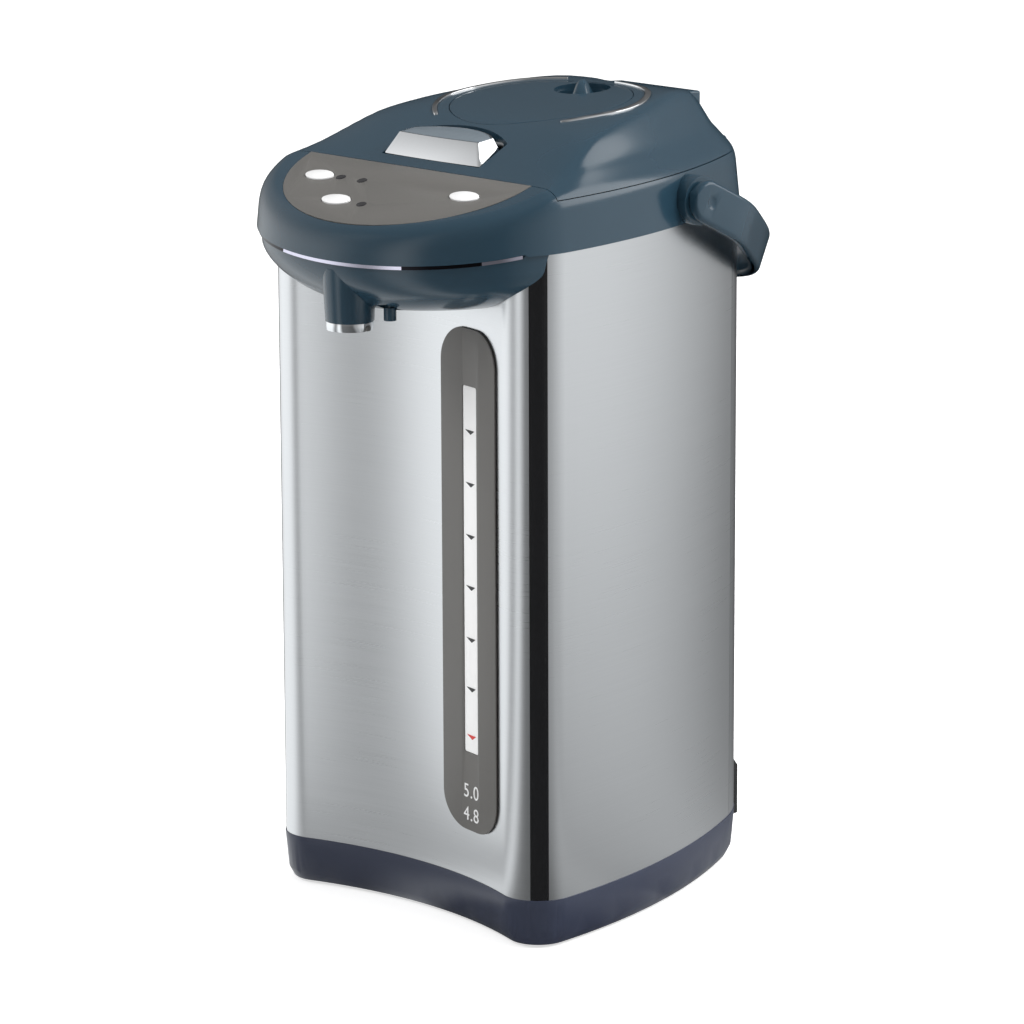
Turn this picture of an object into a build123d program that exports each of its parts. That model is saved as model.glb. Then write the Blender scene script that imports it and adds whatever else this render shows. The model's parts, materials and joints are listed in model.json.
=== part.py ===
# Electric thermo pot: a slim steel-clad hot water dispenser with an air-pump lid.
# Millimetres. +Z up, the front faces -Y, the origin lies on the resting plane below the pot.
from build123d import *
from bisect import bisect_right
from math import asin, atan2, copysign, cos, degrees, hypot, pi, radians, sin, sqrt
import os

# body outline, seen from above
body_front_y = -91.0        # middle of the hollow front face
front_radius = 200.0        # hollow of the front face
corner_radius = 18.0        # front corners
side_radius = 344.0         # bulge of the sides
half_width = 90.0
widest_y = -84.2
rear_radius = 62.0          # round back

# heights
foot_height = 1.5
base_top = 24.0
collar_bottom = 326.0
lid_seam = 349.4
shoulder_height = 353.0     # where the crown of the head would meet its side wall

# walls and clearances
steel_wall = 0.8
shell_wall = 2.4
base_wall = 2.5
fit = 0.3                   # gap between seated pieces
running = 0.06              # radial gap of a pin in its bore
seam = 0.4                  # visible gap between a moving cover and its frame

# head
beak_reach = 62.0           # from the widest line to the tip of the beak
beak_fullness = 2.0         # exponent of the beak's outline
head_lean = 0.1             # how far the side wall leans in for each millimetre of height
panel_slope = 0.34
panel_top_y = -88.0
panel_top_z = 354.3
# the crown's ridge: share of the way from the panel's top edge to the rear, and height
crest = [(0.202, 371.0), (0.308, 375.0), (0.430, 377.4), (0.627, 380.0), (0.733, 379.4), (0.839, 374.5), (0.919, 367.0),
         (0.988, 356.5)]
crown_power = 8.0
shoulder = [(-9.0, 0.0), (-6.2, 0.25), (-3.6, 1.0), (-1.2, 2.4), (1.2, 4.4), (4.4, 7.0), (9.5, 10.8)]
slot_tip_z = 318.5          # the beak's seam at its tip
slot_tip_y = -148.0
slot_slope = 0.175
slot_height = 2.2
belly_rim = 318.0           # the beak's underside curves in below this height
belly_bottom = 294.5
belly_rim_size = (88.5, 61.5)       # half width and reach at the rim
belly_bottom_size = (30.0, 35.0)
belly_power = 1.8

# water vessel and pump lid share one axis
vessel_y = -7.0
vessel_radius = 69.0
vessel_wall = 1.0
vessel_bottom = 62.0
vessel_flange = 74.0
deck_bottom = 338.0
deck_wall = 2.4
seal_height = 2.0
mouth_radius = 64.5

# lid
lid_front_y = -87.6
plug_radius = 60.0
plug_floor = 332.0
hinge_inset = 3.3           # of the lid's hinge from the rear of the body
hinge_z = 347.0
hinge_radius = 3.8
hinge_half = 16.0
hinge_pin_radius = 1.5
disc_radius = 43.0
disc_skirt = 366.0
disc_travel = 16.0
accent_radius = 50.0
accent_width = 3.0
accent_bottom = 367.5
accent_arcs = [(119.0, 122.0), (-36.0, 125.0)]   # start and sweep, degrees
knob_y = 21.0
knob_radius = 13.1
knob_floor = 372.2
knob_depth = 5.2
fin_top = 384.0
vent_half = 26.0
vent_front_y = 47.0
vent_rear_y = 76.0
vent_top_z = 377.5
vent_slope = -0.08

# latch
latch_half = 31.0
latch_top_half = 25.5
latch_front_y = -80.5
latch_top_front_y = -76.0
latch_rear_y = -53.6
latch_bottom = 356.5
latch_top = 367.4
latch_top_slope = 0.1
latch_pivot_y = -58.0
latch_pivot_z = 364.2
latch_pin_radius = 1.2
bolt_half = 12.0
bolt_bottom = 345.2
bolt_height = 2.4
bolt_travel = 3.0

# control panel
panel_half = 71.5
panel_reach = 53.0
panel_power = 2.0
panel_film = 0.8
button_size = (17.0, 9.0)
buttons = {"boil_button": (-47.0, -106.0), "lock_button": (-18.0, -123.5), "dispense_button": (46.0, -105.0)}
button_proud = 0.5
button_travel = 0.8
lamps = [(-34.0, -105.0), (-20.0, -105.0), (-1.0, -124.0)]
lamp_size = (5.2, 4.4)
board_depth = 8.5           # from the panel's face down to the control board
board_wall = 1.6

# spout
spout_y = -133.0
spout_radius = 11.6
spout_bottom = 290.0
ring_bottom = 286.0
ring_radius = 11.0
nozzle_bore = 4.2
cup_lever_x = 19.0
cup_lever_y = -126.0
cup_lever_z = 301.9

# water gauge
gauge_x = 39.5
gauge_half = 21.5
gauge_bottom = 47.7
gauge_top = 286.0
gauge_end_radius = 17.0
gauge_proud = 1.2
window_half = 5.3
window_bottom = 85.5
window_top = 259.0
tube_radius = 4.0
tube_wall = 1.0

# corner trim, angles on the front corner arc
strip_start = -57.6
strip_end = -31.0
panel_gap = 0.15

# carrying handle
pivot_y = 12.0
pivot_z = 336.5
pivot_radius = 11.5
pivot_proud = 8.0           # of the handle's seat from the body
axle_radius = 5.0
arm_proud = 13.7
arm_half_height = 10.0
arm_wall = 5.4
handle_droop = 26.0         # degrees below level when it rests
bail_gap = 8.1              # between the bail and the body
bail_outside = 13.5

# base and power inlet
boss_radius = 6.0
screw_radius = 1.5
foot_radius = 8.0
inlet_half = 24.0
inlet_bottom = 9.5
inlet_top = 42.0
inlet_proud = 7.2
socket_half = 14.0
socket_bottom = 15.5
socket_top = 35.5
socket_depth = 9.0

# pump and heater under the vessel
pump_x = -18.0
pump_y = 26.0
pump_radius = 17.0
rotor_radius = 11.0


def meet(c1, r1, c2, r2):
    """the right-hand point at distance r1 from c1 and r2 from c2"""
    dx, dy = c2[0] - c1[0], c2[1] - c1[1]
    d = hypot(dx, dy)
    a = (r1 * r1 - r2 * r2 + d * d) / (2 * d)
    h = sqrt(r1 * r1 - a * a)
    return max(((c1[0] + (a * dx + s * h * dy) / d, c1[1] + (a * dy - s * h * dx) / d) for s in (1, -1)))


def bearing(c, p):
    return atan2(p[1] - c[1], p[0] - c[0])


front_centre = (0.0, body_front_y - front_radius)
side_centre = (half_width - side_radius, widest_y)
corner_centre = meet(front_centre, front_radius + corner_radius, side_centre, side_radius - corner_radius)
rear_centre = (0.0, widest_y + sqrt((side_radius - rear_radius) ** 2 - side_centre[0] ** 2))
front_angle = bearing(front_centre, corner_centre)
corner_start = bearing(corner_centre, front_centre)
side_start = bearing(side_centre, corner_centre)
side_end = bearing(side_centre, rear_centre)
rear_y = rear_centre[1] + rear_radius
hinge_y = rear_y - hinge_inset
inlet_face_y = rear_y + inlet_proud
knob_rim = knob_floor + knob_depth


def on_circle(c, r, a):
    return (c[0] + r * cos(a), c[1] + r * sin(a))


def arc(c, r, a0, a1):
    return Edge.make_three_point_arc(on_circle(c, r, a0), on_circle(c, r, (a0 + a1) / 2), on_circle(c, r, a1))


def mirrored(edges):
    return [e.mirror(Plane.YZ) for e in edges]


def body_face(off, z=0.0):
    """the body's outline offset outwards, as a face at height z"""
    right = [arc(corner_centre, corner_radius + off, corner_start, side_start),
             arc(side_centre, side_radius + off, side_start, side_end)]
    front = arc(front_centre, front_radius - off, pi - front_angle, front_angle)
    rear = arc(rear_centre, rear_radius + off, side_end, pi - side_end)
    return Pos(0, 0, z) * Face(Wire([front, rear] + right + mirrored(right)))


def body_prism(off, z0, z1):
    return extrude(body_face(off, z0), amount=z1 - z0, dir=(0, 0, 1))


def box(x0, x1, y0, y1, z0, z1):
    return Pos((x0 + x1) / 2, (y0 + y1) / 2, (z0 + z1) / 2) * Box(abs(x1 - x0), y1 - y0, z1 - z0)


def rod(r, z0, z1, x=0.0, y=0.0):
    return Pos(x, y, (z0 + z1) / 2) * Cylinder(r, z1 - z0)


def tube(r_out, r_in, z0, z1, x=0.0, y=0.0):
    return rod(r_out, z0, z1, x, y) - rod(r_in, z0, z1, x, y)


def cross_rod(r, x0, x1, y, z):
    """a cylinder that lies along X"""
    return Pos((x0 + x1) / 2, y, z) * Rot(0, 90, 0) * Cylinder(r, abs(x1 - x0))


def side_profile(points, x0, x1):
    """a prism along X from points given as (y, z)"""
    face = Face(Wire.make_polygon([Vector(x0, y, z) for y, z in points]))
    return extrude(face, amount=x1 - x0, dir=(1, 0, 0))


def both_sides(solid):
    return [solid, solid.mirror(Plane.YZ)]


def panel_z(y):
    return panel_top_z + panel_slope * (y - panel_top_y)


def slot_z(y):
    return slot_tip_z + slot_slope * (y - slot_tip_y)


# crest line of the head: the panel's plane in front, then smooth through the crest points
crest_line = [(-175.0, panel_z(-175.0)), (-130.0, panel_z(-130.0)), (panel_top_y, panel_top_z)]
crest_line += [(panel_top_y + share * (rear_y - panel_top_y), z) for share, z in crest]
crest_line += [(rear_y + 24.7, 330.0)]


def crest_z(y):
    last = len(crest_line) - 1
    i = max(0, min(last - 1, bisect_right([p[0] for p in crest_line], y) - 1))

    def slope(j):
        (y0, z0), (y1, z1) = crest_line[max(0, j - 1)], crest_line[min(last, j + 1)]
        return (z1 - z0) / (y1 - y0)

    (y0, z0), (y1, z1) = crest_line[i], crest_line[i + 1]
    h = y1 - y0
    t = (y - y0) / h
    return (z0 * (2 * t ** 3 - 3 * t * t + 1) + slope(i) * h * (t ** 3 - 2 * t * t + t)
            + z1 * (3 * t * t - 2 * t ** 3) + slope(i + 1) * h * (t ** 3 - t * t))


def rim_z(y):
    return min(shoulder_height, crest_z(y))


def width_at(y):
    """half width of the body outline at y"""
    if y < widest_y:
        return half_width
    if y < on_circle(rear_centre, rear_radius, side_end)[1]:
        return side_centre[0] + sqrt(side_radius ** 2 - (y - widest_y) ** 2)
    return sqrt(max(rear_radius ** 2 - (y - rear_centre[1]) ** 2, 40.0 ** 2))


seat_x = width_at(pivot_y)
pivot_face_x = seat_x + pivot_proud
arm_face_x = seat_x + arm_proud


def under_crown(drop):
    """everything below the crowned top surface, lowered by drop"""
    rows = []
    for i in range(-18, 19):
        share = i * 0.06
        row = []
        for y in range(-165, 122, 11):
            z = crest_z(y) - (crest_z(y) - rim_z(y)) * abs(share) ** crown_power - drop
            row.append(Vector(share * width_at(y), y, z))
        rows.append(row)
    face = Face.make_surface_from_array_of_points(rows, tol=0.05)
    return extrude(face, amount=-150, dir=(0, 0, 1))


def head_outline(off):
    """points round the head's outline, from the beak's tip over the right side to the left"""
    pts = []
    for i in range(11):
        a = pi / 2 * (1 - i / 11)
        pts.append(((half_width + off) * cos(a) ** (2 / beak_fullness),
                    widest_y - (beak_reach + off) * sin(a) ** (2 / beak_fullness)))
    for i in range(7):
        pts.append(on_circle(side_centre, side_radius + off, side_end * i / 7))
    for i in range(5):
        pts.append(on_circle(rear_centre, rear_radius + off, side_end + (pi / 2 - side_end) * i / 5))
    return pts + [(0.0, rear_y + off)] + [(-x, y) for x, y in reversed(pts[1:])]


def head_section(height, inward, inset):
    base = head_outline(0.0)
    wire = []
    for k, (x, y) in enumerate(base):
        z = height(y)
        px, py = head_outline(1.0 - (z - collar_bottom) * head_lean - inward - inset)[k]
        wire.append(Vector(px, py, z))
    return Wire.make_polygon(wire, close=True)


def head_solid(inset):
    """the whole head inside its outer surface moved inwards by inset"""
    drop = inset * 0.8
    sections = [head_section(lambda y: 280.0, 0.0, inset)]
    sections += [head_section(lambda y, h=h: rim_z(y) + h - drop, d, inset) for h, d in shoulder]
    sections += [head_section(lambda y: rim_z(y) + 45.0, 28.0, inset), head_section(lambda y: 425.0, 34.0, inset)]
    return Solid.make_loft(sections, True) & under_crown(inset)


head = head_solid(0.0)


def inside_beak(off, z0, z1):
    """an upright faceted block that stays inside the beak's outline"""
    pts = []
    for i in range(15):
        a = pi * i / 14
        c, s = cos(a), sin(a)
        pts.append(Vector((half_width + off) * copysign(abs(c) ** (2 / beak_fullness), c),
                          widest_y - (beak_reach + off) * abs(s) ** (2 / beak_fullness), z0))
    return extrude(Face(Wire.make_polygon(pts)), amount=z1 - z0, dir=(0, 0, 1))


def band(c, r0, r1, a0, a1):
    """a face between two arcs about c"""
    p = [on_circle(c, r, a) for r, a in ((r0, a0), (r0, a1), (r1, a1), (r1, a0))]
    return Face(Wire([arc(c, r0, a0, a1), Edge.make_line(p[1], p[2]), arc(c, r1, a1, a0), Edge.make_line(p[3], p[0])]))


def skin(faces, z0=base_top, z1=collar_bottom):
    """sheet faces raised into one upright panel"""
    solid = None
    for face in faces:
        part = extrude(Pos(0, 0, z0) * face, amount=z1 - z0, dir=(0, 0, 1))
        solid = part if solid is None else solid + part
    return solid


def gauge_slab(half, z0, z1, radius, off0, off1):
    """an upright rounded plate that follows the hollow front"""
    sketch = Pos(gauge_x, 0, (z0 + z1) / 2) * (Rot(90, 0, 0) * RectangleRounded(2 * half, z1 - z0, radius))
    block = extrude(sketch, amount=150, dir=(0, -1, 0))
    ring = Pos(front_centre[0], front_centre[1], (z0 + z1) / 2) * (
        Cylinder(front_radius - off0, z1 - z0 + 20) - Cylinder(front_radius - off1, z1 - z0 + 20))
    return block & ring


def on_panel(x, y, lift=0.0):
    """a place on the control panel's plane, with z along its normal"""
    tilt = degrees(atan2(panel_slope, 1.0))
    n = 1 / sqrt(1 + panel_slope ** 2)
    return Pos(x, y - lift * panel_slope * n, panel_z(y) + lift * n) * Rot(tilt, 0, 0)


def panel_block(inset, lift0, lift1):
    """the control panel's outline as a slab between two heights over the panel's plane"""
    pts = []
    steps = 30
    for i in range(steps + 1):
        a = pi * i / steps
        c, s = cos(a), sin(a)
        pts.append(Vector((panel_half - inset) * copysign(abs(c) ** (2 / panel_power), c),
                          -inset - (panel_reach - inset * 2) * abs(s) ** (2 / panel_power) * sqrt(1 + panel_slope ** 2)))
    face = Face(Wire.make_polygon(pts))
    return extrude(on_panel(0, panel_top_y, lift0) * face, amount=lift1 - lift0,
                   dir=tuple((on_panel(0, 0, 1).position - on_panel(0, 0, 0).position)))


def oval(place, size, z0, z1):
    return place * Pos(0, 0, (z0 + z1) / 2) * extrude(Ellipse(size[0] / 2, size[1] / 2), amount=(z1 - z0) / 2, both=True)


def screw(x, y, z0, length, r=screw_radius, head_r=3.0, head_h=2.0):
    """a pan-head screw whose head sits below z0"""
    return rod(head_r, z0 - head_h, z0, x, y) + rod(r, z0, z0 + length, x, y)


parts = {}


def node(name, *solids):
    """keep solids as one named sub-part"""
    flat = []
    for s in solids:
        flat += s if isinstance(s, list) else [s]
    leaves = [leaf for s in flat for leaf in s.solids()]
    parts[name] = leaves[0] if len(leaves) == 1 else Compound(children=leaves)


# ---- base ----
boss_spots = [on_circle(corner_centre, corner_radius - 10.5, -pi / 4), on_circle(rear_centre, rear_radius - 10.0, radians(40))]
boss_spots += [(-x, y) for x, y in boss_spots]
foot_spots = [(58.0, -74.0), (-58.0, -74.0), (34.0, 58.0), (-34.0, 58.0)]
socket_cut = box(-socket_half - fit, socket_half + fit, rear_y - 14, inlet_face_y + 9, socket_bottom - fit, socket_top + fit)


def make_base():
    outer = loft([body_face(-3.6, foot_height), body_face(-1.2, 6.0), body_face(0.4, base_top)], ruled=True)
    shell = outer - body_prism(-3.6 - base_wall, foot_height, base_top)
    tongue = body_prism(-steel_wall - fit, base_top - 4, base_top + 7) - body_prism(-3.6 - base_wall, base_top - 5, base_top + 8)
    shell = shell + tongue
    for x, y in boss_spots:
        shell = shell + (rod(boss_radius, 6.0, base_top, x, y) & body_prism(-2.0, 0, base_top))
        shell = shell - rod(screw_radius, 6.0, 18.0, x, y)
    shell = shell - socket_cut
    node("base_shell", shell)

    plate = body_prism(-3.6 - base_wall - fit, foot_height, 6.0) - body_prism(-9.0, 3.8, 7.0)
    for x, y in boss_spots:
        plate = plate + (rod(boss_radius, 3.0, 6.0, x, y) & body_prism(-3.6 - base_wall - fit, 0, 10))
        plate = plate - rod(screw_radius + 0.2, 0, 7, x, y) - rod(3.3, 0, 3.8, x, y)
    for x, y in ((-42.5, -62.5), (-8, -62.5), (-42.5, -35.5), (-8, -35.5)):
        plate = plate + rod(3.0, 3.0, 10, x, y)
    for i in range(-4, 5):
        plate = plate - box(i * 9 - 1.6, i * 9 + 1.6, -30, 26, 0, 5)
    for x, y in foot_spots:
        plate = plate - rod(2.0, 0, 5, x, y)
    node("bottom_plate", plate)
    node("base_screws", [screw(x, y, 3.8, 12.0) for x, y in boss_spots])
    node("rubber_feet", [rod(foot_radius, 0, foot_height, x, y) + rod(2.0, foot_height, 3.6, x, y) for x, y in foot_spots])


def make_steel():
    """the upright panels round the body"""
    gap = panel_gap / corner_radius
    s0, s1 = radians(strip_start), radians(strip_end)
    t = steel_wall
    front_corner = band(corner_centre, corner_radius, corner_radius - t, corner_start, s0 - gap)
    front = band(front_centre, front_radius, front_radius + t, pi - front_angle, front_angle)
    sheet = skin([front, front_corner, front_corner.mirror(Plane.YZ)])
    window = gauge_slab(window_half + 1.0, window_bottom - 2, window_top + 2, 3.0, -5.0, 5.0)
    passage = box(8, 50, -100, -80, 318, 330)
    node("front_panel", sheet - window - passage)
    side = [band(corner_centre, corner_radius, corner_radius - t, s1 + gap, side_start),
            band(side_centre, side_radius, side_radius - t, side_start, side_end - panel_gap / side_radius)]
    right = skin(side)
    node("right_panel", right)
    node("left_panel", right.mirror(Plane.YZ))
    rear_gap = panel_gap / rear_radius
    rear = skin([band(rear_centre, rear_radius, rear_radius - t, side_end + rear_gap, pi - side_end - rear_gap)])
    node("rear_panel", rear - socket_cut)
    strip = skin([band(corner_centre, corner_radius, corner_radius - t, s0, s1)])
    node("corner_strips", both_sides(strip))


def make_gauge():
    frame = gauge_slab(gauge_half, gauge_bottom, gauge_top, gauge_end_radius, 0.1, gauge_proud)
    opening = gauge_slab(window_half + 0.1, window_bottom - 0.1, window_top + 0.1, 1.0, -5.0, 5.0)
    node("gauge_frame", frame - opening)
    window = gauge_slab(window_half, window_bottom, window_top, 1.0, -steel_wall, gauge_proud - 0.4)
    node("gauge_window", window)
    ty = tube_axis_y()
    node("gauge_tube", tube(tube_radius, tube_radius - tube_wall, vessel_bottom - 10, 316.0, gauge_x, ty))
    ball = Pos(gauge_x, ty, 210.0) * Sphere(tube_radius - tube_wall - 0.3)
    node("gauge_float", ball)


def tube_axis_y():
    wall = front_centre[1] + sqrt(front_radius ** 2 - gauge_x ** 2)
    return wall + steel_wall + tube_radius + 3.2


# ---- collar and beak ----
def below_slot(raise_by):
    """everything under the beak's seam, and under the collar's lower edge behind it"""
    turn_y = slot_tip_y + (collar_bottom - slot_tip_z) / slot_slope
    pts = [(-200, slot_z(-200) + raise_by), (turn_y - 1, slot_z(turn_y - 1) + raise_by), (turn_y, collar_bottom),
           (200, collar_bottom), (200, 200), (-200, 200)]
    return side_profile(pts, -120, 120)


def make_collar():
    wall_y = panel_top_y - shell_wall
    shell = head - box(-120, 120, panel_top_y, 130, lid_seam - seam, 400)
    shell = shell - body_prism(-3.4, 260, deck_bottom)
    upper = body_prism(-3.4, deck_bottom + deck_wall, 360)
    shell = shell - (upper & box(-115, 115, panel_top_y, 115, 330, 370))
    roof = [(-175, 260), (-175, panel_z(-175) - 2.8), (wall_y, panel_z(wall_y) - 2.8), (wall_y, 260)]
    shell = shell - (inside_beak(-5.5, 260, 400) & side_profile(roof, -115, 115))
    shell = shell - box(-82, 82, wall_y - 4, panel_top_y + 4, 260, deck_bottom)
    shell = shell - below_slot(slot_height / 2)
    shell = shell - rod(mouth_radius, deck_bottom - 1, deck_bottom + 4, 0, vessel_y)
    for s in (-1, 1):
        lug_x = s * (hinge_half + fit + 2.2)
        shell = shell + cross_rod(hinge_radius, lug_x - 2.2, lug_x + 2.2, hinge_y, hinge_z)
        shell = shell + box(lug_x - 2.2, lug_x + 2.2, hinge_y - 8, hinge_y, deck_bottom + 0.5, hinge_z)
    shell = shell - box(-hinge_half - fit, hinge_half + fit, hinge_y - 6, rear_y + 20, hinge_z - 5.2, 372)
    shell = shell - cross_rod(hinge_pin_radius, -30, 30, hinge_y, hinge_z)
    # the control panel's film lies in a shallow pocket, over holes for buttons and lamps
    shell = shell - panel_block(-0.15, -panel_film, 6.0)
    for x, y in buttons.values():
        shell = shell - oval(on_panel(x, y), (button_size[0] + 0.8, button_size[1] + 0.8), -8, 4)
    for x, y in lamps:
        shell = shell - oval(on_panel(x, y), (lamp_size[0] + 0.4, lamp_size[1] + 0.4), -8, 4)
    slot = box(-bolt_half - 0.8, bolt_half + 0.8, panel_top_y - 3, panel_top_y + 1, bolt_bottom - 0.5, bolt_bottom + bolt_height + 0.5)
    shell = shell - slot
    for s in (1, -1):
        shell = shell - cross_rod(6.0, s * (seat_x - 16), s * (seat_x + 14), pivot_y, pivot_z)
    node("collar", shell)


def belly_section(z, half, reach):
    pts = []
    for i in range(17):
        a = pi * i / 16
        c, s = cos(a), sin(a)
        pts.append(Vector(half * copysign(abs(c) ** (2 / beak_fullness), c),
                          widest_y - reach * abs(s) ** (2 / beak_fullness), z))
    return Face(Wire.make_polygon(pts))


def belly_size(z):
    """half width and reach of the underside at height z"""
    share = min(1.0, max(0.0, (belly_rim - z) / (belly_rim - belly_bottom)))
    k = (1 - share ** belly_power) ** (1 / belly_power)
    return [low + (rim - low) * k for rim, low in zip(belly_rim_size, belly_bottom_size)]


def belly_block(z0):
    """one step of the hollow inside the beak's underside, down to z0"""
    half, reach = (size - shell_wall for size in belly_size(z0 - shell_wall))
    pts = []
    for i in range(13):
        a = pi * i / 12
        c, s = cos(a), sin(a)
        pts.append(Vector(half * copysign(abs(c) ** (2 / beak_fullness), c),
                          widest_y - reach * abs(s) ** (2 / beak_fullness), z0))
    return extrude(Face(Wire.make_polygon(pts)), amount=345 - z0, dir=(0, 0, 1))


def belly_solid(inset):
    sections = [belly_section(336.0, belly_rim_size[0] + 1.6 - inset, belly_rim_size[1] + 1.2 - inset)]
    for share in (0.0, 0.12, 0.3, 0.5, 0.7, 0.86, 0.96, 1.0):
        z = belly_rim - share * (belly_rim - belly_bottom)
        half, reach = belly_size(z)
        sections.append(belly_section(z + inset * share, half - inset, reach - inset))
    return loft(sections, ruled=True)


def make_beak():
    lower = belly_solid(0.0) & below_slot(-slot_height / 2)
    lower = lower - body_prism(fit, 250, 400)
    inner_y = front_centre[1] + front_radius - 3.2
    for floor_z in (315.0, 309.0, 303.2):
        lower = lower - (belly_block(floor_z) & box(-100, 100, -170, inner_y, 290, 345))
    lower = lower + (rod(spout_radius - 1.5, 296, 312, 0, spout_y) & belly_solid(0.5))
    lower = lower - rod(nozzle_bore + 1.2 + 0.05, 280, 320, 0, spout_y)
    pocket = box(cup_lever_x - 4, cup_lever_x + 4, cup_lever_y - 5, cup_lever_y + 5, 290, 309)
    lower = lower - pocket - cross_rod(1.0, cup_lever_x - 6, cup_lever_x + 6, cup_lever_y, cup_lever_z)
    lower = lower - box(8, 50, -112, -80, 320, 330)
    node("beak_lower", max(lower.solids(), key=lambda piece: piece.volume))
    groove = box(-95, 95, -170, slot_tip_y + (collar_bottom - slot_tip_z) / slot_slope - 3, 300, 340)
    trim = (head_solid(0.7) & groove) - inside_beak(-4.8, 260, 400)
    trim = (trim & below_slot(slot_height / 2 - 0.05)) - below_slot(-slot_height / 2 + 0.05)
    node("slot_trim", trim)


def make_spout():
    skirt = loft([Pos(0, spout_y, spout_bottom) * Circle(spout_radius - 0.4),
                  Pos(0, spout_y, 315) * Circle(spout_radius + 0.9)], ruled=True)
    skirt = skirt - belly_solid(-0.02) - rod(spout_radius - 2.6, spout_bottom - 1, 298, 0, spout_y)
    stem = rod(nozzle_bore + 1.2, spout_bottom - 2, 312, 0, spout_y) - rod(nozzle_bore, 280, 320, 0, spout_y)
    web = box(-spout_radius + 2, spout_radius - 2, spout_y - 1, spout_y + 1, spout_bottom + 1, 296)
    web = web - rod(nozzle_bore + 0.2, 280, 320, 0, spout_y)
    node("spout_nozzle", skirt + stem + web)
    ring = tube(ring_radius, ring_radius - 1.6, ring_bottom, spout_bottom, 0, spout_y)
    ring = ring + tube(ring_radius, nozzle_bore + 1.2, spout_bottom - 0.8, spout_bottom, 0, spout_y)
    node("spout_ring", ring)
    ty = tube_axis_y()
    path = FilletPolyline((gauge_x, ty, 300), (gauge_x, ty, 332), (16, -112, 328.5), (0, spout_y, 320),
                          (0, spout_y, 312), radius=5)
    section = Plane(origin=(gauge_x, ty, 300), z_dir=(0, 0, 1)) * Circle(tube_radius + 1.2)
    bore = Plane(origin=(gauge_x, ty, 300), z_dir=(0, 0, 1)) * Circle(tube_radius)
    pipe = sweep(section, path=path) - sweep(bore, path=path)
    node("outlet_pipe", pipe)


def make_cup_lever():
    x, y, z = cup_lever_x, cup_lever_y, cup_lever_z
    arm = cross_rod(2.6, x - 2.5, x + 2.5, y, z) + box(x - 1.6, x + 1.6, y - 1.6, y + 1.6, z - 6.5, z)
    pad = rod(2.9, z - 10.5, z - 4.5, x, y)
    lever = arm + pad - cross_rod(1.0 + running, x - 5, x + 5, y, z)
    node("cup_lever", lever)
    node("cup_lever_pin", cross_rod(1.0, x - 6, x + 6, y, z))
    node("cup_switch", box(x - 5, x + 5, y + 6.5, y + 14.5, 303.4, 311))


def make_controls():
    film = panel_block(0.0, -panel_film, 0.0)
    for x, y in buttons.values():
        film = film - oval(on_panel(x, y), (button_size[0] + 2 * 0.35, button_size[1] + 2 * 0.35), -3, 3)
    for x, y in lamps:
        film = film - oval(on_panel(x, y), (lamp_size[0] + 0.1, lamp_size[1] + 0.1), -3, 3)
    node("control_panel", film)
    for name, (x, y) in buttons.items():
        cap = oval(on_panel(x, y), button_size, -4.2, button_proud)
        stem = on_panel(x, y) * Pos(0, 0, -4.7) * Cylinder(1.5, 1.4)
        node(name, cap + stem)
    node("indicator_lamps", [oval(on_panel(x, y), lamp_size, -board_depth, 0.15) for x, y in lamps])
    board = on_panel(0, -111.0) * Pos(0, 0, -board_depth - board_wall / 2) * Box(108, 28, board_wall)
    node("control_board", board)
    node("tact_switches", [on_panel(x, y) * Pos(0, 0, -board_depth + 1.1) * Box(6, 6, 2.2) for x, y in buttons.values()])


# ---- handle ----
def bail_point(t, off):
    """a point of the bail seen square on, t from 0 at the pivot to 1 at the back, off from the body"""
    level = cos(radians(handle_droop))
    a = side_end + (pi / 2 - side_end) * (t - 0.45) / 0.55
    if t < 0.45:
        a_side = asin((pivot_y - widest_y) / side_radius)
        b = a_side + (side_end - a_side) * t / 0.45
        x, y = on_circle(side_centre, side_radius + off, b)
    else:
        x, y = on_circle(rear_centre, rear_radius + off, a)
    return (x, (y - pivot_y) / level)


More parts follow.
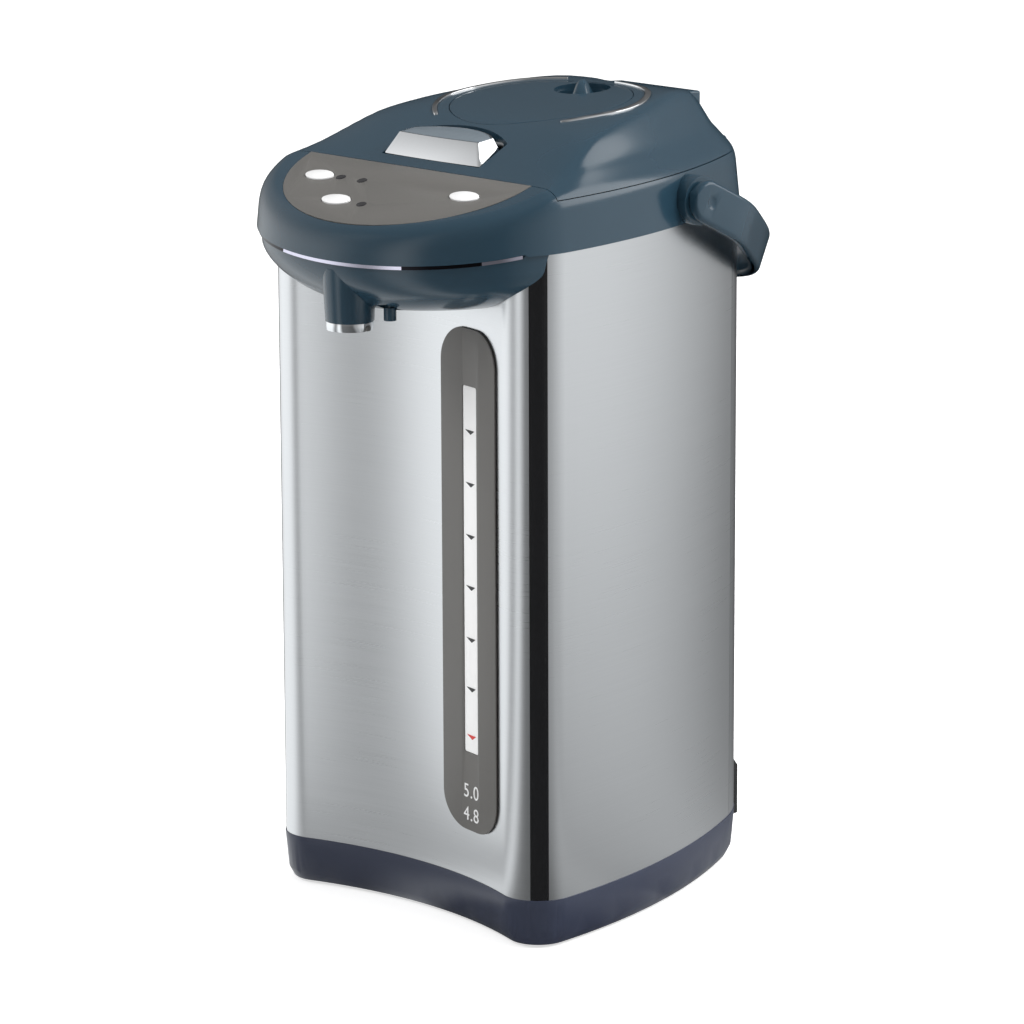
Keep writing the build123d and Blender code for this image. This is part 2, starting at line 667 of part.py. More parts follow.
def make_handle():
    steps = 16
    outer, inner = [], []
    for i in range(steps + 1):
        t = i / steps
        for line, off, face_x in ((outer, bail_outside, arm_face_x), (inner, bail_gap, arm_face_x - arm_wall)):
            x, reach = bail_point(t, off)
            straight = max(0.0, 1 - max(0.0, t - 0.18) / 0.4)
            side_x = bail_point(0.18, off)[0]
            x = face_x if t <= 0.18 else x + (face_x - side_x) * straight ** 1.5
            line.append((min(x, face_x), reach))

    def ring(shrink_out, shrink_in):
        o = [(x - shrink_out * (1 if s < 60 else x / 80), s - (0 if s < 60 else shrink_out)) for x, s in outer]
        n = [(x + shrink_in * (1 if s < 60 else x / 80), s + (0 if s < 60 else shrink_in)) for x, s in inner]
        o = o + [(-x, s) for x, s in reversed(o[:-1])]
        n = n + [(-x, s) for x, s in reversed(n[:-1])]
        a = Edge.make_spline([Vector(x, s) for x, s in o])
        b = Edge.make_spline([Vector(x, s) for x, s in n])
        return Face(Wire([a, Edge.make_line(a @ 1, b @ 1), b, Edge.make_line(b @ 0, a @ 0)]))

    bail = extrude(ring(0, 0), amount=arm_half_height, both=True)
    channel = extrude(Pos(0, 0, -arm_half_height - 1) * ring(1.8, 1.8), amount=2 * arm_half_height - 1.2, dir=(0, 0, 1))
    bail = bail - (channel & box(-100, 100, 52, 140, -20, 20))
    for s in (1, -1):
        bail = bail + cross_rod(arm_half_height, s * (arm_face_x - arm_wall), s * arm_face_x, 0, 0)
        bail = bail - cross_rod(axle_radius + running, s * (seat_x + 4), s * (arm_face_x - 2.0), 0, 0)
    node("handle", Pos(0, pivot_y, pivot_z) * Rot(-handle_droop, 0, 0) * bail)
    seats = []
    for s in (1, -1):
        boss = cross_rod(pivot_radius, s * (seat_x - 6.3), s * pivot_face_x, pivot_y, pivot_z) - head
        boss = boss + cross_rod(6.0, s * (seat_x - 2.9), s * seat_x, pivot_y, pivot_z)
        boss = boss + cross_rod(axle_radius, s * seat_x, s * (arm_face_x - 2.4), pivot_y, pivot_z)
        seats.append(boss)
    node("handle_pivots", seats)


# ---- lid ----
def disc_hole(gap):
    return rod(disc_radius + gap, 340, 400, 0, vessel_y)


def latch_plan(half, front_y, rear_y, z, slope=0.0):
    corner_y = rear_y - 9.0

    def at(x, y):
        return Vector(x, y, z + slope * (y - front_y))

    rear = Edge.make_three_point_arc(at(half, corner_y), at(0, rear_y), at(-half, corner_y))
    return Face(Wire([Edge.make_line(at(-half, front_y), at(half, front_y)), Edge.make_line(at(half, front_y), at(half, corner_y)),
                      rear, Edge.make_line(at(-half, corner_y), at(-half, front_y))]))


def latch_hole(gap):
    return extrude(latch_plan(latch_half + gap, latch_front_y - gap, latch_rear_y + gap, 350.0), amount=40, dir=(0, 0, 1))


def vent_block(inset):
    top = [(vent_front_y + inset, 340), (vent_front_y + inset, vent_top_z - inset),
           (vent_rear_y - inset, vent_top_z - inset + vent_slope * (vent_rear_y - vent_front_y)), (vent_rear_y - inset, 340)]
    return side_profile(top, -vent_half + inset, vent_half - inset)


def make_lid():
    cavity = body_prism(-5.5, 330, 350.6) & box(-115, 115, lid_front_y + shell_wall, 130, 320, 400)
    cavity = cavity + box(-52, 52, -42, 34, 350, 361.5)
    cavity = cavity - tube(disc_radius + seam + 1.6, disc_radius + seam, 350.6, 400, 0, vessel_y)
    cover = (head & box(-120, 120, lid_front_y, 130, lid_seam, 400)) - cavity
    cover = cover - disc_hole(seam) - latch_hole(0.5)
    cover = cover - cross_rod(latch_pin_radius, -33.5, 33.5, latch_pivot_y, latch_pivot_z)
    cover = cover - vent_block(0.0)
    for start, sweep_angle in accent_arcs:
        cover = cover - accent_block(start, sweep_angle, 0.1)
    for s in (1, -1):
        lug_x = s * (hinge_half + 2.8)
        cover = cover - cross_rod(hinge_radius + 0.5, lug_x - 2.8, lug_x + 2.8, hinge_y, hinge_z)
    cover = cover + cross_rod(hinge_radius, -hinge_half, hinge_half, hinge_y, hinge_z)
    cover = cover - cross_rod(hinge_pin_radius + running, -30, 30, hinge_y, hinge_z)
    tongue = box(-bolt_half - 6, bolt_half + 6, lid_front_y, lid_front_y + shell_wall, bolt_bottom - 2, lid_seam + 1)
    cover = cover + tongue
    cover = cover - box(-bolt_half - 0.4, bolt_half + 0.4, lid_front_y - 1, lid_front_y + 4, bolt_bottom - 0.4, bolt_bottom + bolt_height + 0.4)
    node("lid_cover", cover)

    cover_floor = body_prism(-5.9, 348.4, 350.4) & box(-120, 120, lid_front_y + shell_wall + fit, hinge_y - 10, 340, 360)
    cup = tube(plug_radius, plug_radius - 2, plug_floor, lid_seam + 1, 0, vessel_y) + rod(plug_radius, plug_floor, plug_floor + 2, 0, vessel_y)
    inner = cover_floor - rod(plug_radius - 2, 340, 360, 0, vessel_y) + cup
    inner = inner + tube(plug_radius + 11, plug_radius - 1, 343.2, 345.2, 0, vessel_y)
    inner = inner - box(-6.5, 6.5, -83, -71, lid_seam - 2, lid_seam + 4)
    inner = inner - rod(3.0, plug_floor - 1, plug_floor + 3, 0, vessel_y)
    node("lid_inner", inner - box(-25, 25, hinge_y - 13, hinge_y + 13, 340, 360))
    node("lid_gasket", tube(plug_radius + 10.5, plug_radius + 5.5, deck_bottom + deck_wall + fit, 343.2, 0, vessel_y))
    node("hinge_pin", cross_rod(hinge_pin_radius, -hinge_half - fit - 4.4, hinge_half + fit + 4.4, hinge_y, hinge_z))

    vent = vent_block(0.15) - (vent_block(2.2) & box(-60, 60, 20, 90, 340, vent_top_z - 2.4))
    vent = vent & box(-60, 60, 20, 90, 352, 400)
    for i in range(5):
        vent = vent - box(-16, 16, vent_front_y + 7 + i * 4, vent_front_y + 8.8 + i * 4, vent_top_z - 6, 400)
    node("steam_vent", vent)


def accent_block(start, sweep_angle, gap):
    """the plan of a crescent beside the pump disc, as a tall block"""
    half = accent_width / 2 + gap
    face = band((0.0, vessel_y), accent_radius + half, accent_radius - half, radians(start), radians(start + sweep_angle))
    return extrude(Pos(0, 0, accent_bottom - gap) * face, amount=40, dir=(0, 0, 1))


def make_accents():
    node("accent_arcs", [accent_block(start, sweep_angle, 0.0) & under_crown(-0.9) for start, sweep_angle in accent_arcs])


def make_latch():
    lever = loft([latch_plan(latch_half, latch_front_y, latch_rear_y - 0.4, latch_bottom + 2.0),
                  latch_plan(latch_top_half, latch_top_front_y, latch_rear_y - 2.8, latch_top, latch_top_slope)], ruled=True)
    lever = lever + box(-7, 7, -73, -70, latch_bottom - 2.5, latch_bottom + 4)
    lever = lever - cross_rod(latch_pin_radius + running, -40, 40, latch_pivot_y, latch_pivot_z)
    node("latch_lever", lever)
    node("latch_pin", cross_rod(latch_pin_radius, -31.5, 31.5, latch_pivot_y, latch_pivot_z))
    bolt = box(-bolt_half, bolt_half, panel_top_y - 1.8, -76, bolt_bottom, bolt_bottom + bolt_height)
    bolt = bolt + box(-5, 5, -80.5, -77, bolt_bottom, latch_bottom - 3.2)
    node("latch_bolt", bolt)


def make_pump_lid():
    disc = rod(disc_radius, disc_skirt, 400, 0, vessel_y) & head
    roof = [(-60, 340), (-60, 364.4), (50, 376.3), (50, 340)]
    hollow = rod(disc_radius - 2.2, disc_skirt - 1, 400, 0, vessel_y) & side_profile(roof, -60, 60)
    hollow = hollow - rod(knob_radius + 2.0, knob_floor - 2.4, 400, 0, knob_y) - tube(26, 24, disc_skirt - 2, 400, 0, vessel_y)
    disc = disc - hollow
    disc = disc - rod(knob_radius + 0.3, knob_floor - 0.2, 400, 0, knob_y) - rod(4 + running, 360, 400, 0, knob_y)
    node("pump_disc", disc)
    knob = tube(knob_radius, knob_radius - 1.4, knob_floor, knob_rim, 0, knob_y) + rod(knob_radius, knob_floor, knob_floor + 1.8, 0, knob_y)
    fin = side_profile([(-11.5, knob_floor), (-11.5, knob_rim - 0.5), (-7.0, fin_top - 1.6), (-3.0, fin_top), (4.0, fin_top),
                        (9.0, fin_top - 2.4), (11.5, knob_rim), (11.5, knob_floor)], -2.6, 2.6)
    fin = Pos(0, knob_y, 0) * Rot(0, 0, 45) * fin
    knob = knob + fin + rod(4, disc_skirt + 1.4, knob_floor + 1, 0, knob_y)
    node("lock_knob", knob)

    z0, z1 = plug_floor + 2.0, disc_skirt - 0.3
    folds = 5
    pitch = (z1 - z0 - 1.6) / folds
    pts = [(18.0, z0), (33.0, z0)]
    for i in range(folds):
        pts += [(36.0, z0 + (i + 0.5) * pitch), (30.0, z0 + (i + 1) * pitch)]
    pts += [(30.0, z1), (0.0, z1), (0.0, z1 - 1.4), (28.6, z1 - 1.4)]
    for i in reversed(range(folds)):
        pts += [(34.4, z0 + (i + 0.5) * pitch), (28.6 if i else 31.6, z0 + i * pitch + (0 if i else 1.2))]
    pts += [(18.0, z0 + 1.2)]
    profile = Face(Wire.make_polygon([Vector(r, 0, z) for r, z in pts]))
    node("bellows", Pos(0, vessel_y, 0) * revolve(profile, Axis.Z, 360))
    coil_z0, coil_z1 = z0 + 2.2, z1 - 2.4
    path = Helix(pitch=(coil_z1 - coil_z0) / 5, height=coil_z1 - coil_z0, radius=12.5)
    wire = sweep(Plane(origin=path @ 0, z_dir=path % 0) * Circle(0.8), path=path)
    node("return_spring", Pos(0, vessel_y, coil_z0) * wire)


# ---- vessel, heater and pump ----
def make_vessel():
    v_top = deck_bottom - seal_height
    outer = rod(vessel_radius, vessel_bottom, v_top, 0, vessel_y)
    inner = rod(vessel_radius - vessel_wall, vessel_bottom + vessel_wall, v_top + 1, 0, vessel_y)
    flange = tube(vessel_flange, vessel_radius - vessel_wall, v_top - 1.4, v_top, 0, vessel_y)
    vessel = outer - inner + flange
    vessel = vessel - rod(4.0, vessel_bottom - 1, vessel_bottom + 2, pump_x, pump_y)
    node("inner_vessel", vessel)
    node("vessel_seal", tube(vessel_flange, mouth_radius, v_top, deck_bottom, 0, vessel_y))
    node("heater_band", tube(vessel_radius + 2.2, vessel_radius, vessel_bottom + 14, vessel_bottom + 44, 0, vessel_y))
    node("insulation", tube(vessel_radius + 2.6, vessel_radius, vessel_bottom + 46, v_top - 6, 0, vessel_y))
    bracket = tube(vessel_radius - 2, vessel_radius - 23, vessel_bottom - 2, vessel_bottom, 0, vessel_y)
    legs = []
    for a in (60, 180, 300):
        x, y = on_circle((0, vessel_y), vessel_radius - 10, radians(a))
        legs.append(rod(4.0, 3.8, vessel_bottom - 2, x, y))
    for leg in legs:
        bracket = bracket + leg
    node("vessel_bracket", bracket)
    node("thermostat", rod(8, vessel_bottom - 9, vessel_bottom, 12, -28) + rod(10, vessel_bottom - 2.0, vessel_bottom, 12, -28))


def make_pump():
    top, mid = vessel_bottom - 12, vessel_bottom - 26
    volute = rod(pump_radius, mid, top, pump_x, pump_y) - rod(rotor_radius + 1.0, mid + 2, top - 2, pump_x, pump_y)
    volute = volute + tube(5.5, 4.0, top - 2.0, vessel_bottom - 6, pump_x, pump_y)
    volute = volute - rod(4.0, top - 3, top + 2, pump_x, pump_y) - rod(2.2, mid - 1, mid + 3, pump_x, pump_y)
    volute = volute + (rod(4.5, -40, 0) - rod(3, -41, 1)).moved(
        Location((pump_x + pump_radius - 2, pump_y, (top + mid) / 2), (0, -90, 0)))
    volute = volute - rod(rotor_radius + 1.0, mid + 2, top - 2, pump_x, pump_y)
    node("pump_housing", volute)
    blades = rod(3.0, mid + 3, top - 3, pump_x, pump_y) + rod(rotor_radius, mid + 3, mid + 4.5, pump_x, pump_y)
    for i in range(6):
        blades = blades + Pos(pump_x, pump_y, (mid + top) / 2) * Rot(0, 0, 60 * i) * (Pos(rotor_radius / 2, 0, 0) * Box(rotor_radius - 0.4, 1.2, top - mid - 6.4))
    shaft = rod(1.5, mid - 9, mid + 4, pump_x, pump_y)
    node("pump_rotor", blades + shaft)
    motor = rod(15, 8.0, mid, pump_x, pump_y) - rod(2.2, mid - 10, mid + 1, pump_x, pump_y)
    motor = motor + rod(11, 3.8, 8.0, pump_x, pump_y)
    node("pump_motor", motor)
    node("suction_hose", tube(7.0, 5.5, top + 1.0, vessel_bottom, pump_x, pump_y))
    ty = tube_axis_y()
    z = (top + mid) / 2
    start = pump_x + pump_radius + 38 - 10
    path = FilletPolyline((start, pump_y, z), (gauge_x + 24, pump_y, z), (gauge_x + 18, -40, z), (gauge_x, ty, z),
                          (gauge_x, ty, vessel_bottom - 4), radius=9)
    first = Plane(origin=(start, pump_y, z), z_dir=(1, 0, 0))
    hose = sweep(first * Circle(6.0), path=path) - sweep(first * Circle(4.5), path=path)
    hose = hose - rod(tube_radius, vessel_bottom - 10, 80, gauge_x, ty)
    node("delivery_hose", hose)


def make_electrics():
    node("power_board", box(-46, -4, -66, -32, 10, 11.6))
    node("power_parts", box(-42, -26, -62, -46, 11.6, 26), rod(5, 11.6, 30, -15, -56), rod(5, 11.6, 24, -15, -42),
         box(-40, -22, -42, -36, 11.6, 22))
    housing = box(-inlet_half, inlet_half, rear_y - 20, inlet_face_y, inlet_bottom, inlet_top)
    housing = housing - side_profile([(inlet_face_y - 7, inlet_top + 1), (inlet_face_y + 1, inlet_top + 1),
                                      (inlet_face_y + 1, inlet_top - 9)], -50, 50)
    housing = housing - body_prism(0.5, 0, 60) - socket_cut
    node("inlet_housing", housing)
    socket = box(-socket_half, socket_half, rear_y - 13, inlet_face_y - 0.4, socket_bottom, socket_top)
    recess = box(-socket_half + 2, socket_half - 2, inlet_face_y - socket_depth, inlet_face_y + 1, socket_bottom + 2, socket_top - 2)
    pin_spots = [(-6.0, (socket_bottom + socket_top) / 2), (6.0, (socket_bottom + socket_top) / 2)]
    pins = []
    for x, z in pin_spots:
        pin = Pos(x, (rear_y - 13 + inlet_face_y - 3) / 2, z) * Rot(90, 0, 0) * Cylinder(1.6, inlet_face_y - 3 - rear_y + 13)
        pins.append(pin)
    socket = socket - recess
    for pin in pins:
        socket = socket - pin
    node("inlet_socket", socket)
    node("inlet_pins", pins)


make_base()
make_steel()
make_gauge()
make_collar()
make_beak()
make_spout()
make_cup_lever()
make_controls()
make_handle()
make_lid()
make_accents()
make_latch()
make_pump_lid()
make_vessel()
make_pump()
make_electrics()

os.makedirs("parts", exist_ok=True)
for name, shape in parts.items():
    shape.label = name
    export_step(shape, f"parts/{name}.step")
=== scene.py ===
import json
import math
import time
import bpy
from mathutils import Matrix, Vector

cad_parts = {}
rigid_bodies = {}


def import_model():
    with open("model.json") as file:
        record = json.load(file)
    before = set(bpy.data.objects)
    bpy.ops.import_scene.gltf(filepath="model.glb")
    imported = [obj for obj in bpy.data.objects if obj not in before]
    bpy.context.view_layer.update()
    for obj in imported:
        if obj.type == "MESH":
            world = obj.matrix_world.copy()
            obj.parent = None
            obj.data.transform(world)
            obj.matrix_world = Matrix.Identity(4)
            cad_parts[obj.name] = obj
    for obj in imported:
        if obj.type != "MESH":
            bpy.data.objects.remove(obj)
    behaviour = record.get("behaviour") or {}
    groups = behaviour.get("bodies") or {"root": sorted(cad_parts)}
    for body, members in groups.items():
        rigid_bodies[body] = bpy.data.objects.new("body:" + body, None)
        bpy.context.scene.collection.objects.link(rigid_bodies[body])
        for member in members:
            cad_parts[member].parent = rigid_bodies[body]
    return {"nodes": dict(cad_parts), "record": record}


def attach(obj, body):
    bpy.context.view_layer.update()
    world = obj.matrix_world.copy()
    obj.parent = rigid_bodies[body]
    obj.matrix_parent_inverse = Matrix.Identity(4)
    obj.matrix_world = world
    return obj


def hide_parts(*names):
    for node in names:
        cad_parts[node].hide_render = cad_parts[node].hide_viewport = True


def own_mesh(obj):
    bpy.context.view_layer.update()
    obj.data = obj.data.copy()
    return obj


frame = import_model()
nodes = frame["nodes"]
bodyOfNode = {node: body for body, group in frame["record"]["behaviour"]["bodies"].items()
              for node in group}
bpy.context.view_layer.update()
mm = 0.001
print("frame loaded:", len(nodes), "nodes")


def sumOf(operation, swapped=False):
    # what an operator on a signal does; swapped is for the reflected form, as in 1 - mask
    return lambda self, other: self.combine(operation, other, swapped)


class Signal:
    # a socket that can be used in sums, so masks and patterns read as plain formulas
    def __init__(self, tree, socket):
        self.tree = tree
        self.socket = socket

    def combine(self, operation, other, swapped=False):
        pair = (other, self) if swapped else (self, other)
        return addNode(self.tree, "ShaderNodeMath", dict(enumerate(pair)), operation=operation)

    def sibling(self, output):
        return Signal(self.tree, self.socket.node.outputs[output])

    __add__, __radd__ = sumOf("ADD"), sumOf("ADD", True)
    __sub__, __rsub__ = sumOf("SUBTRACT"), sumOf("SUBTRACT", True)
    __mul__, __rmul__ = sumOf("MULTIPLY"), sumOf("MULTIPLY", True)
    __truediv__, __rtruediv__ = sumOf("DIVIDE"), sumOf("DIVIDE", True)
    __pow__, __rpow__ = sumOf("POWER"), sumOf("POWER", True)
    __gt__ = sumOf("GREATER_THAN")
    __lt__ = sumOf("LESS_THAN")


def addNode(tree, kind, values=None, output=0, **settings):
    # settings go in first, then each socket gets its value or its link
    made = tree.nodes.new(kind)
    for key, value in settings.items():
        if key == "stops":
            fillRamp(made.color_ramp, value)
        else:
            setattr(made, key, value)
    for key, value in (values or {}).items():
        if isinstance(value, Signal):
            tree.links.new(value.socket, made.inputs[key])
        else:
            made.inputs[key].default_value = value
    return Signal(tree, made.outputs[output])


def fillRamp(ramp, stops):
    # stops are (place, grey level), joined by an eased curve
    ramp.interpolation = "EASE"
    while len(ramp.elements) < len(stops):
        ramp.elements.new(0.5)
    for stop, (at, level) in zip(ramp.elements, stops):
        stop.position = at
        stop.color = (level, level, level, 1)


class Finish:
    # one procedural material, its shader and the nodes behind it
    def __init__(self, name, colour, roughness, metallic=0.0):
        self.material = bpy.data.materials.new(name)
        self.material.use_nodes = True
        self.tree = self.material.node_tree
        self.shader = self.tree.nodes["Principled BSDF"]
        self.set("Base Color", colour)
        self.set("Roughness", roughness)
        self.set("Metallic", metallic)
        self.coords = self.node("ShaderNodeTexCoord", output="Object")

    def set(self, socket, value):
        if isinstance(value, Signal):
            self.tree.links.new(value.socket, self.shader.inputs[socket])
        elif isinstance(value, tuple):
            self.shader.inputs[socket].default_value = (*value, 1.0)
        else:
            self.shader.inputs[socket].default_value = value

    def node(self, *what, **settings):
        return addNode(self.tree, *what, **settings)

    def stretched(self, *scale):
        return self.node("ShaderNodeMapping", {"Vector": self.coords, "Scale": scale})

    def noise(self, scale, detail, vector=None):
        values = {"Vector": vector or self.coords, "Scale": scale, "Detail": detail}
        return self.node("ShaderNodeTexNoise", values)

    def blend(self, factor, first, second):
        values = {0: factor, 6: (*first, 1.0), 7: (*second, 1.0)}
        return self.node("ShaderNodeMix", values, 2, data_type="RGBA")

    def bump(self, height, strength, distance):
        values = {"Height": height, "Strength": strength, "Distance": distance}
        self.set("Normal", self.node("ShaderNodeBump", values))


# colour, paler mottle, roughness
plastics = {
    "slateGloss": ((0.016, 0.041, 0.063), (0.018, 0.045, 0.069), 0.20),
    "navyBase": ((0.031, 0.038, 0.066), (0.034, 0.042, 0.072), 0.30),
    "blackGloss": ((0.006, 0.006, 0.007), (0.010, 0.010, 0.011), 0.16),
    "darkMoulding": ((0.020, 0.021, 0.024), (0.028, 0.029, 0.032), 0.42),
    "whiteInk": ((0.80, 0.80, 0.80), (0.86, 0.86, 0.86), 0.45),
    "latchGrey": ((0.135, 0.165, 0.190), (0.150, 0.182, 0.210), 0.30),
    "windowWhite": ((0.95, 0.95, 0.95), (0.98, 0.98, 0.98), 0.24),
    "whiteKey": ((0.80, 0.80, 0.80), (0.84, 0.84, 0.84), 0.24),
    "greyFilm": ((0.118, 0.114, 0.107), (0.126, 0.122, 0.115), 0.42),
    "naturalPlastic": ((0.60, 0.61, 0.60), (0.68, 0.69, 0.68), 0.40),
    "softSilicone": ((0.46, 0.47, 0.47), (0.52, 0.53, 0.53), 0.55),
    "blackRubber": ((0.014, 0.014, 0.015), (0.022, 0.022, 0.023), 0.70),
    "lampLens": ((0.016, 0.017, 0.020), (0.024, 0.022, 0.024), 0.12),
    "redMark": ((0.62, 0.020, 0.016), (0.70, 0.030, 0.022), 0.35),
    "inkMark": ((0.012, 0.012, 0.014), (0.018, 0.018, 0.020), 0.40),
    "greenBoard": ((0.020, 0.120, 0.045), (0.030, 0.150, 0.060), 0.38),
    "feltWrap": ((0.58, 0.56, 0.50), (0.68, 0.66, 0.60), 0.92),
}


def tinted(colour, share):
    return tuple(min(1.0, part * share) for part in colour)


def mouldedPlastic(name, colour, light, roughness):
    # faint mottling, uneven gloss and the fine skin that a mould leaves
    f = Finish(name, colour, roughness)
    cloud = f.noise(scale=22.0, detail=4.0)
    skin = f.noise(scale=900.0, detail=2.0)
    f.set("Base Color", f.blend(cloud, colour, light))
    f.set("Roughness", cloud * 0.06 + skin * 0.04 + (roughness - 0.05))
    f.set("Coat Weight", 0.12 if roughness < 0.3 else 0.0)
    f.set("Coat Roughness", 0.08)
    f.bump(skin * 0.7 + cloud * 0.3, strength=0.03, distance=0.0002)
    return f.material


def brushedSheet(name, colour, roughness, across, along):
    # grain runs level round the body, with slow cloudy shifts in tone
    f = Finish(name, colour, roughness, metallic=1.0)
    grain = f.noise(1.0, 4.0, f.stretched(along, along, across))
    fine = f.noise(1.0, 2.0, f.stretched(along * 3, along * 3, across * 3.2))
    cloud = f.noise(scale=9.0, detail=3.0)
    tone = grain * 0.6 + cloud * 0.4
    f.set("Base Color", f.blend(tone, tinted(colour, 0.93), tinted(colour, 1.05)))
    f.set("Roughness", grain * 0.10 + cloud * 0.05 + (roughness - 0.07))
    f.bump(grain * 0.6 + fine * 0.4, strength=0.10, distance=0.0002)
    return f.material


def plating(name, colour, roughness):
    f = Finish(name, colour, roughness, metallic=1.0)
    haze = f.noise(scale=60.0, detail=4.0)
    f.set("Roughness", haze * 0.05 + roughness)
    f.set("Base Color", f.blend(haze, tinted(colour, 0.96), colour))
    f.bump(haze, strength=0.02, distance=0.0004)
    return f.material


def paintedReflectionStrip(name, colour, roughness, middleY, paintedDarkBelow, paintedDarkFrom, paintedDarkTo):
    # a bright strip with painted reflection: a lavender tint, and dark toward one end and along
    # one stretch by bearing about the head's middle, standing in for what the chrome reflects
    f = Finish(name, colour, roughness, metallic=1.0)
    x = f.node("ShaderNodeSeparateXYZ", {0: f.coords})
    angle = (x.sibling(1) - middleY).combine("ARCTAN2", x)
    # painted reflection: the strip's colour goes dark at these bearings
    paintedReflectionMask = (angle < paintedDarkBelow) + (angle > paintedDarkFrom) * (angle < paintedDarkTo)
    haze = f.noise(scale=60.0, detail=3.0)
    f.set("Base Color", f.blend(paintedReflectionMask * 0.97 + haze * 0.03, colour, (0.006, 0.006, 0.008)))
    return f.material


finishes = {name: mouldedPlastic(name, *look) for name, look in plastics.items()}
finishes["steelSheet"] = brushedSheet("steelSheet", (0.72, 0.735, 0.75), 0.29,
                                      across=2600.0, along=14.0)
finishes["innerSteel"] = brushedSheet("innerSteel", (0.60, 0.60, 0.60), 0.26,
                                      across=1500.0, along=10.0)
finishes["chrome"] = plating("chrome", (0.80, 0.82, 0.84), 0.05)
finishes["zincPlate"] = plating("zincPlate", (0.52, 0.53, 0.54), 0.30)
finishes["brassPins"] = plating("brassPins", (0.72, 0.56, 0.28), 0.22)
# the slot trim's lavender tint and its dark stretches are painted reflection
finishes["trimChromePaintedReflection"] = paintedReflectionStrip("trimChromePaintedReflection", (0.66, 0.65, 0.78), 0.16, middleY=-0.0842,
                                   paintedDarkBelow=-2.09, paintedDarkFrom=-0.94, paintedDarkTo=-0.47)
print("finishes made:", len(finishes))

nodeFinish = {
    "steelSheet": ["front_panel", "right_panel", "left_panel", "rear_panel"],
    "navyBase": ["base_shell"],
    "slateGloss": ["collar", "beak_lower", "lid_cover", "pump_disc", "handle", "handle_pivots",
                   "steam_vent", "lock_knob", "spout_nozzle", "cup_lever"],
    "blackGloss": ["corner_strips", "inlet_housing"],
    "darkMoulding": ["bottom_plate", "inlet_socket", "cup_switch", "tact_switches", "thermostat",
                     "power_parts"],
    "whiteKey": ["boil_button", "lock_button", "dispense_button", "gauge_tube"],
    "windowWhite": ["gauge_window"],
    "greyFilm": ["control_panel", "gauge_frame"],
    "lampLens": ["indicator_lamps"],
    "chrome": ["slot_trim", "spout_ring", "accent_arcs", "latch_lever"],
    "zincPlate": ["base_screws", "cup_lever_pin", "hinge_pin", "latch_pin", "heater_band",
                  "vessel_bracket", "pump_motor"],
    "innerSteel": ["inner_vessel", "return_spring"],
    "naturalPlastic": ["lid_inner", "latch_bolt", "bellows", "pump_housing", "pump_rotor"],
    "softSilicone": ["outlet_pipe", "lid_gasket", "vessel_seal", "suction_hose", "delivery_hose"],
    "blackRubber": ["rubber_feet"],
    "redMark": ["gauge_float"],
    "greenBoard": ["control_board", "power_board"],
    "feltWrap": ["insulation"],
    "brassPins": ["inlet_pins"],
}
finishOfNode = {node: finish for finish, group in nodeFinish.items() for node in group}
for node, finish in finishOfNode.items():
    nodes[node].data.materials.clear()
    nodes[node].data.materials.append(finishes[finish])


def only(obj):
    for other in bpy.context.view_layer.objects:
        other.select_set(False)
    obj.select_set(True)
    bpy.context.view_layer.objects.active = obj


def edit(obj):
    only(obj)
    bpy.ops.object.mode_set(mode="EDIT")
    bpy.ops.mesh.select_all(action="SELECT")


def leave():
    bpy.ops.object.mode_set(mode="OBJECT")


def fixPlace():
    bpy.ops.object.transform_apply(location=True, rotation=True, scale=True)


def settle(obj, finish, name, body, *replaced):
    # fixes the place into the mesh, gives the finish and says what it rides on
    only(obj)
    fixPlace()
    obj.name = name
    obj.data.materials.clear()
    obj.data.materials.append(finishes[finish])
    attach(obj, body)
    if replaced:
        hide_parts(*replaced)
    return obj


def applyAll(obj):
    only(obj)
    for modifier in list(obj.modifiers):
        bpy.ops.object.modifier_apply(modifier=modifier.name)


def rounded(obj, width=0.0, limit=38.0, segments=2, smooth=32.0):
    # edges sharper than the limit are eased, and facets flatter than smooth are shaded round
    if width > 0:
        bevel = obj.modifiers.new("easedEdge", "BEVEL")
        bevel.width = width * mm
        bevel.segments = segments
        bevel.limit_method = "ANGLE"
        bevel.angle_limit = math.radians(limit)
        applyAll(obj)
    only(obj)
    bpy.ops.object.shade_smooth_by_angle(angle=math.radians(smooth))
    return obj


def place(obj, name, node, finish=None):
    return settle(obj, finish or finishOfNode[node], name, bodyOfNode[node], node)


def softened(node, name, edge):
    # a seated piece with its sharp edges eased and its facets shaded round
    only(nodes[node])
    bpy.ops.object.duplicate()
    obj = bpy.context.view_layer.objects.active
    edit(obj)
    bpy.ops.mesh.remove_doubles(threshold=0.00001)
    bpy.ops.mesh.dissolve_limited(angle_limit=math.radians(0.6))
    leave()
    return place(rounded(obj, edge), name, node)


# node: (name of its piece, width of the eased edge)
easedNodes = {
    "handle_pivots": ("handlePivots", 0.8), "spout_nozzle": ("spoutSkirt", 0.3),
    "spout_ring": ("spoutRing", 0.3), "boil_button": ("boilKey", 0.35),
    "lock_button": ("lockKey", 0.35), "dispense_button": ("dispenseKey", 0.35),
    "gauge_frame": ("gaugePanel", 0.35), "gauge_window": ("gaugeWindow", 0.12),
    "control_panel": ("panelFilm", 0.1), "base_shell": ("baseShell", 0.8),
    "inlet_housing": ("inletHousing", 0.8), "corner_strips": ("cornerStrips", 0.0),
    "right_panel": ("rightSheet", 0.0), "left_panel": ("leftSheet", 0.0),
    "rear_panel": ("rearSheet", 0.0), "cup_lever": ("cupLever", 0.3),
    "indicator_lamps": ("panelLamps", 0.15), "bellows": ("lidBellows", 0.0),
    "return_spring": ("lidSpring", 0.0),
}
pieces = {name: softened(node, name, edge) for node, (name, edge) in easedNodes.items()}
print("eased pieces:", len(pieces))

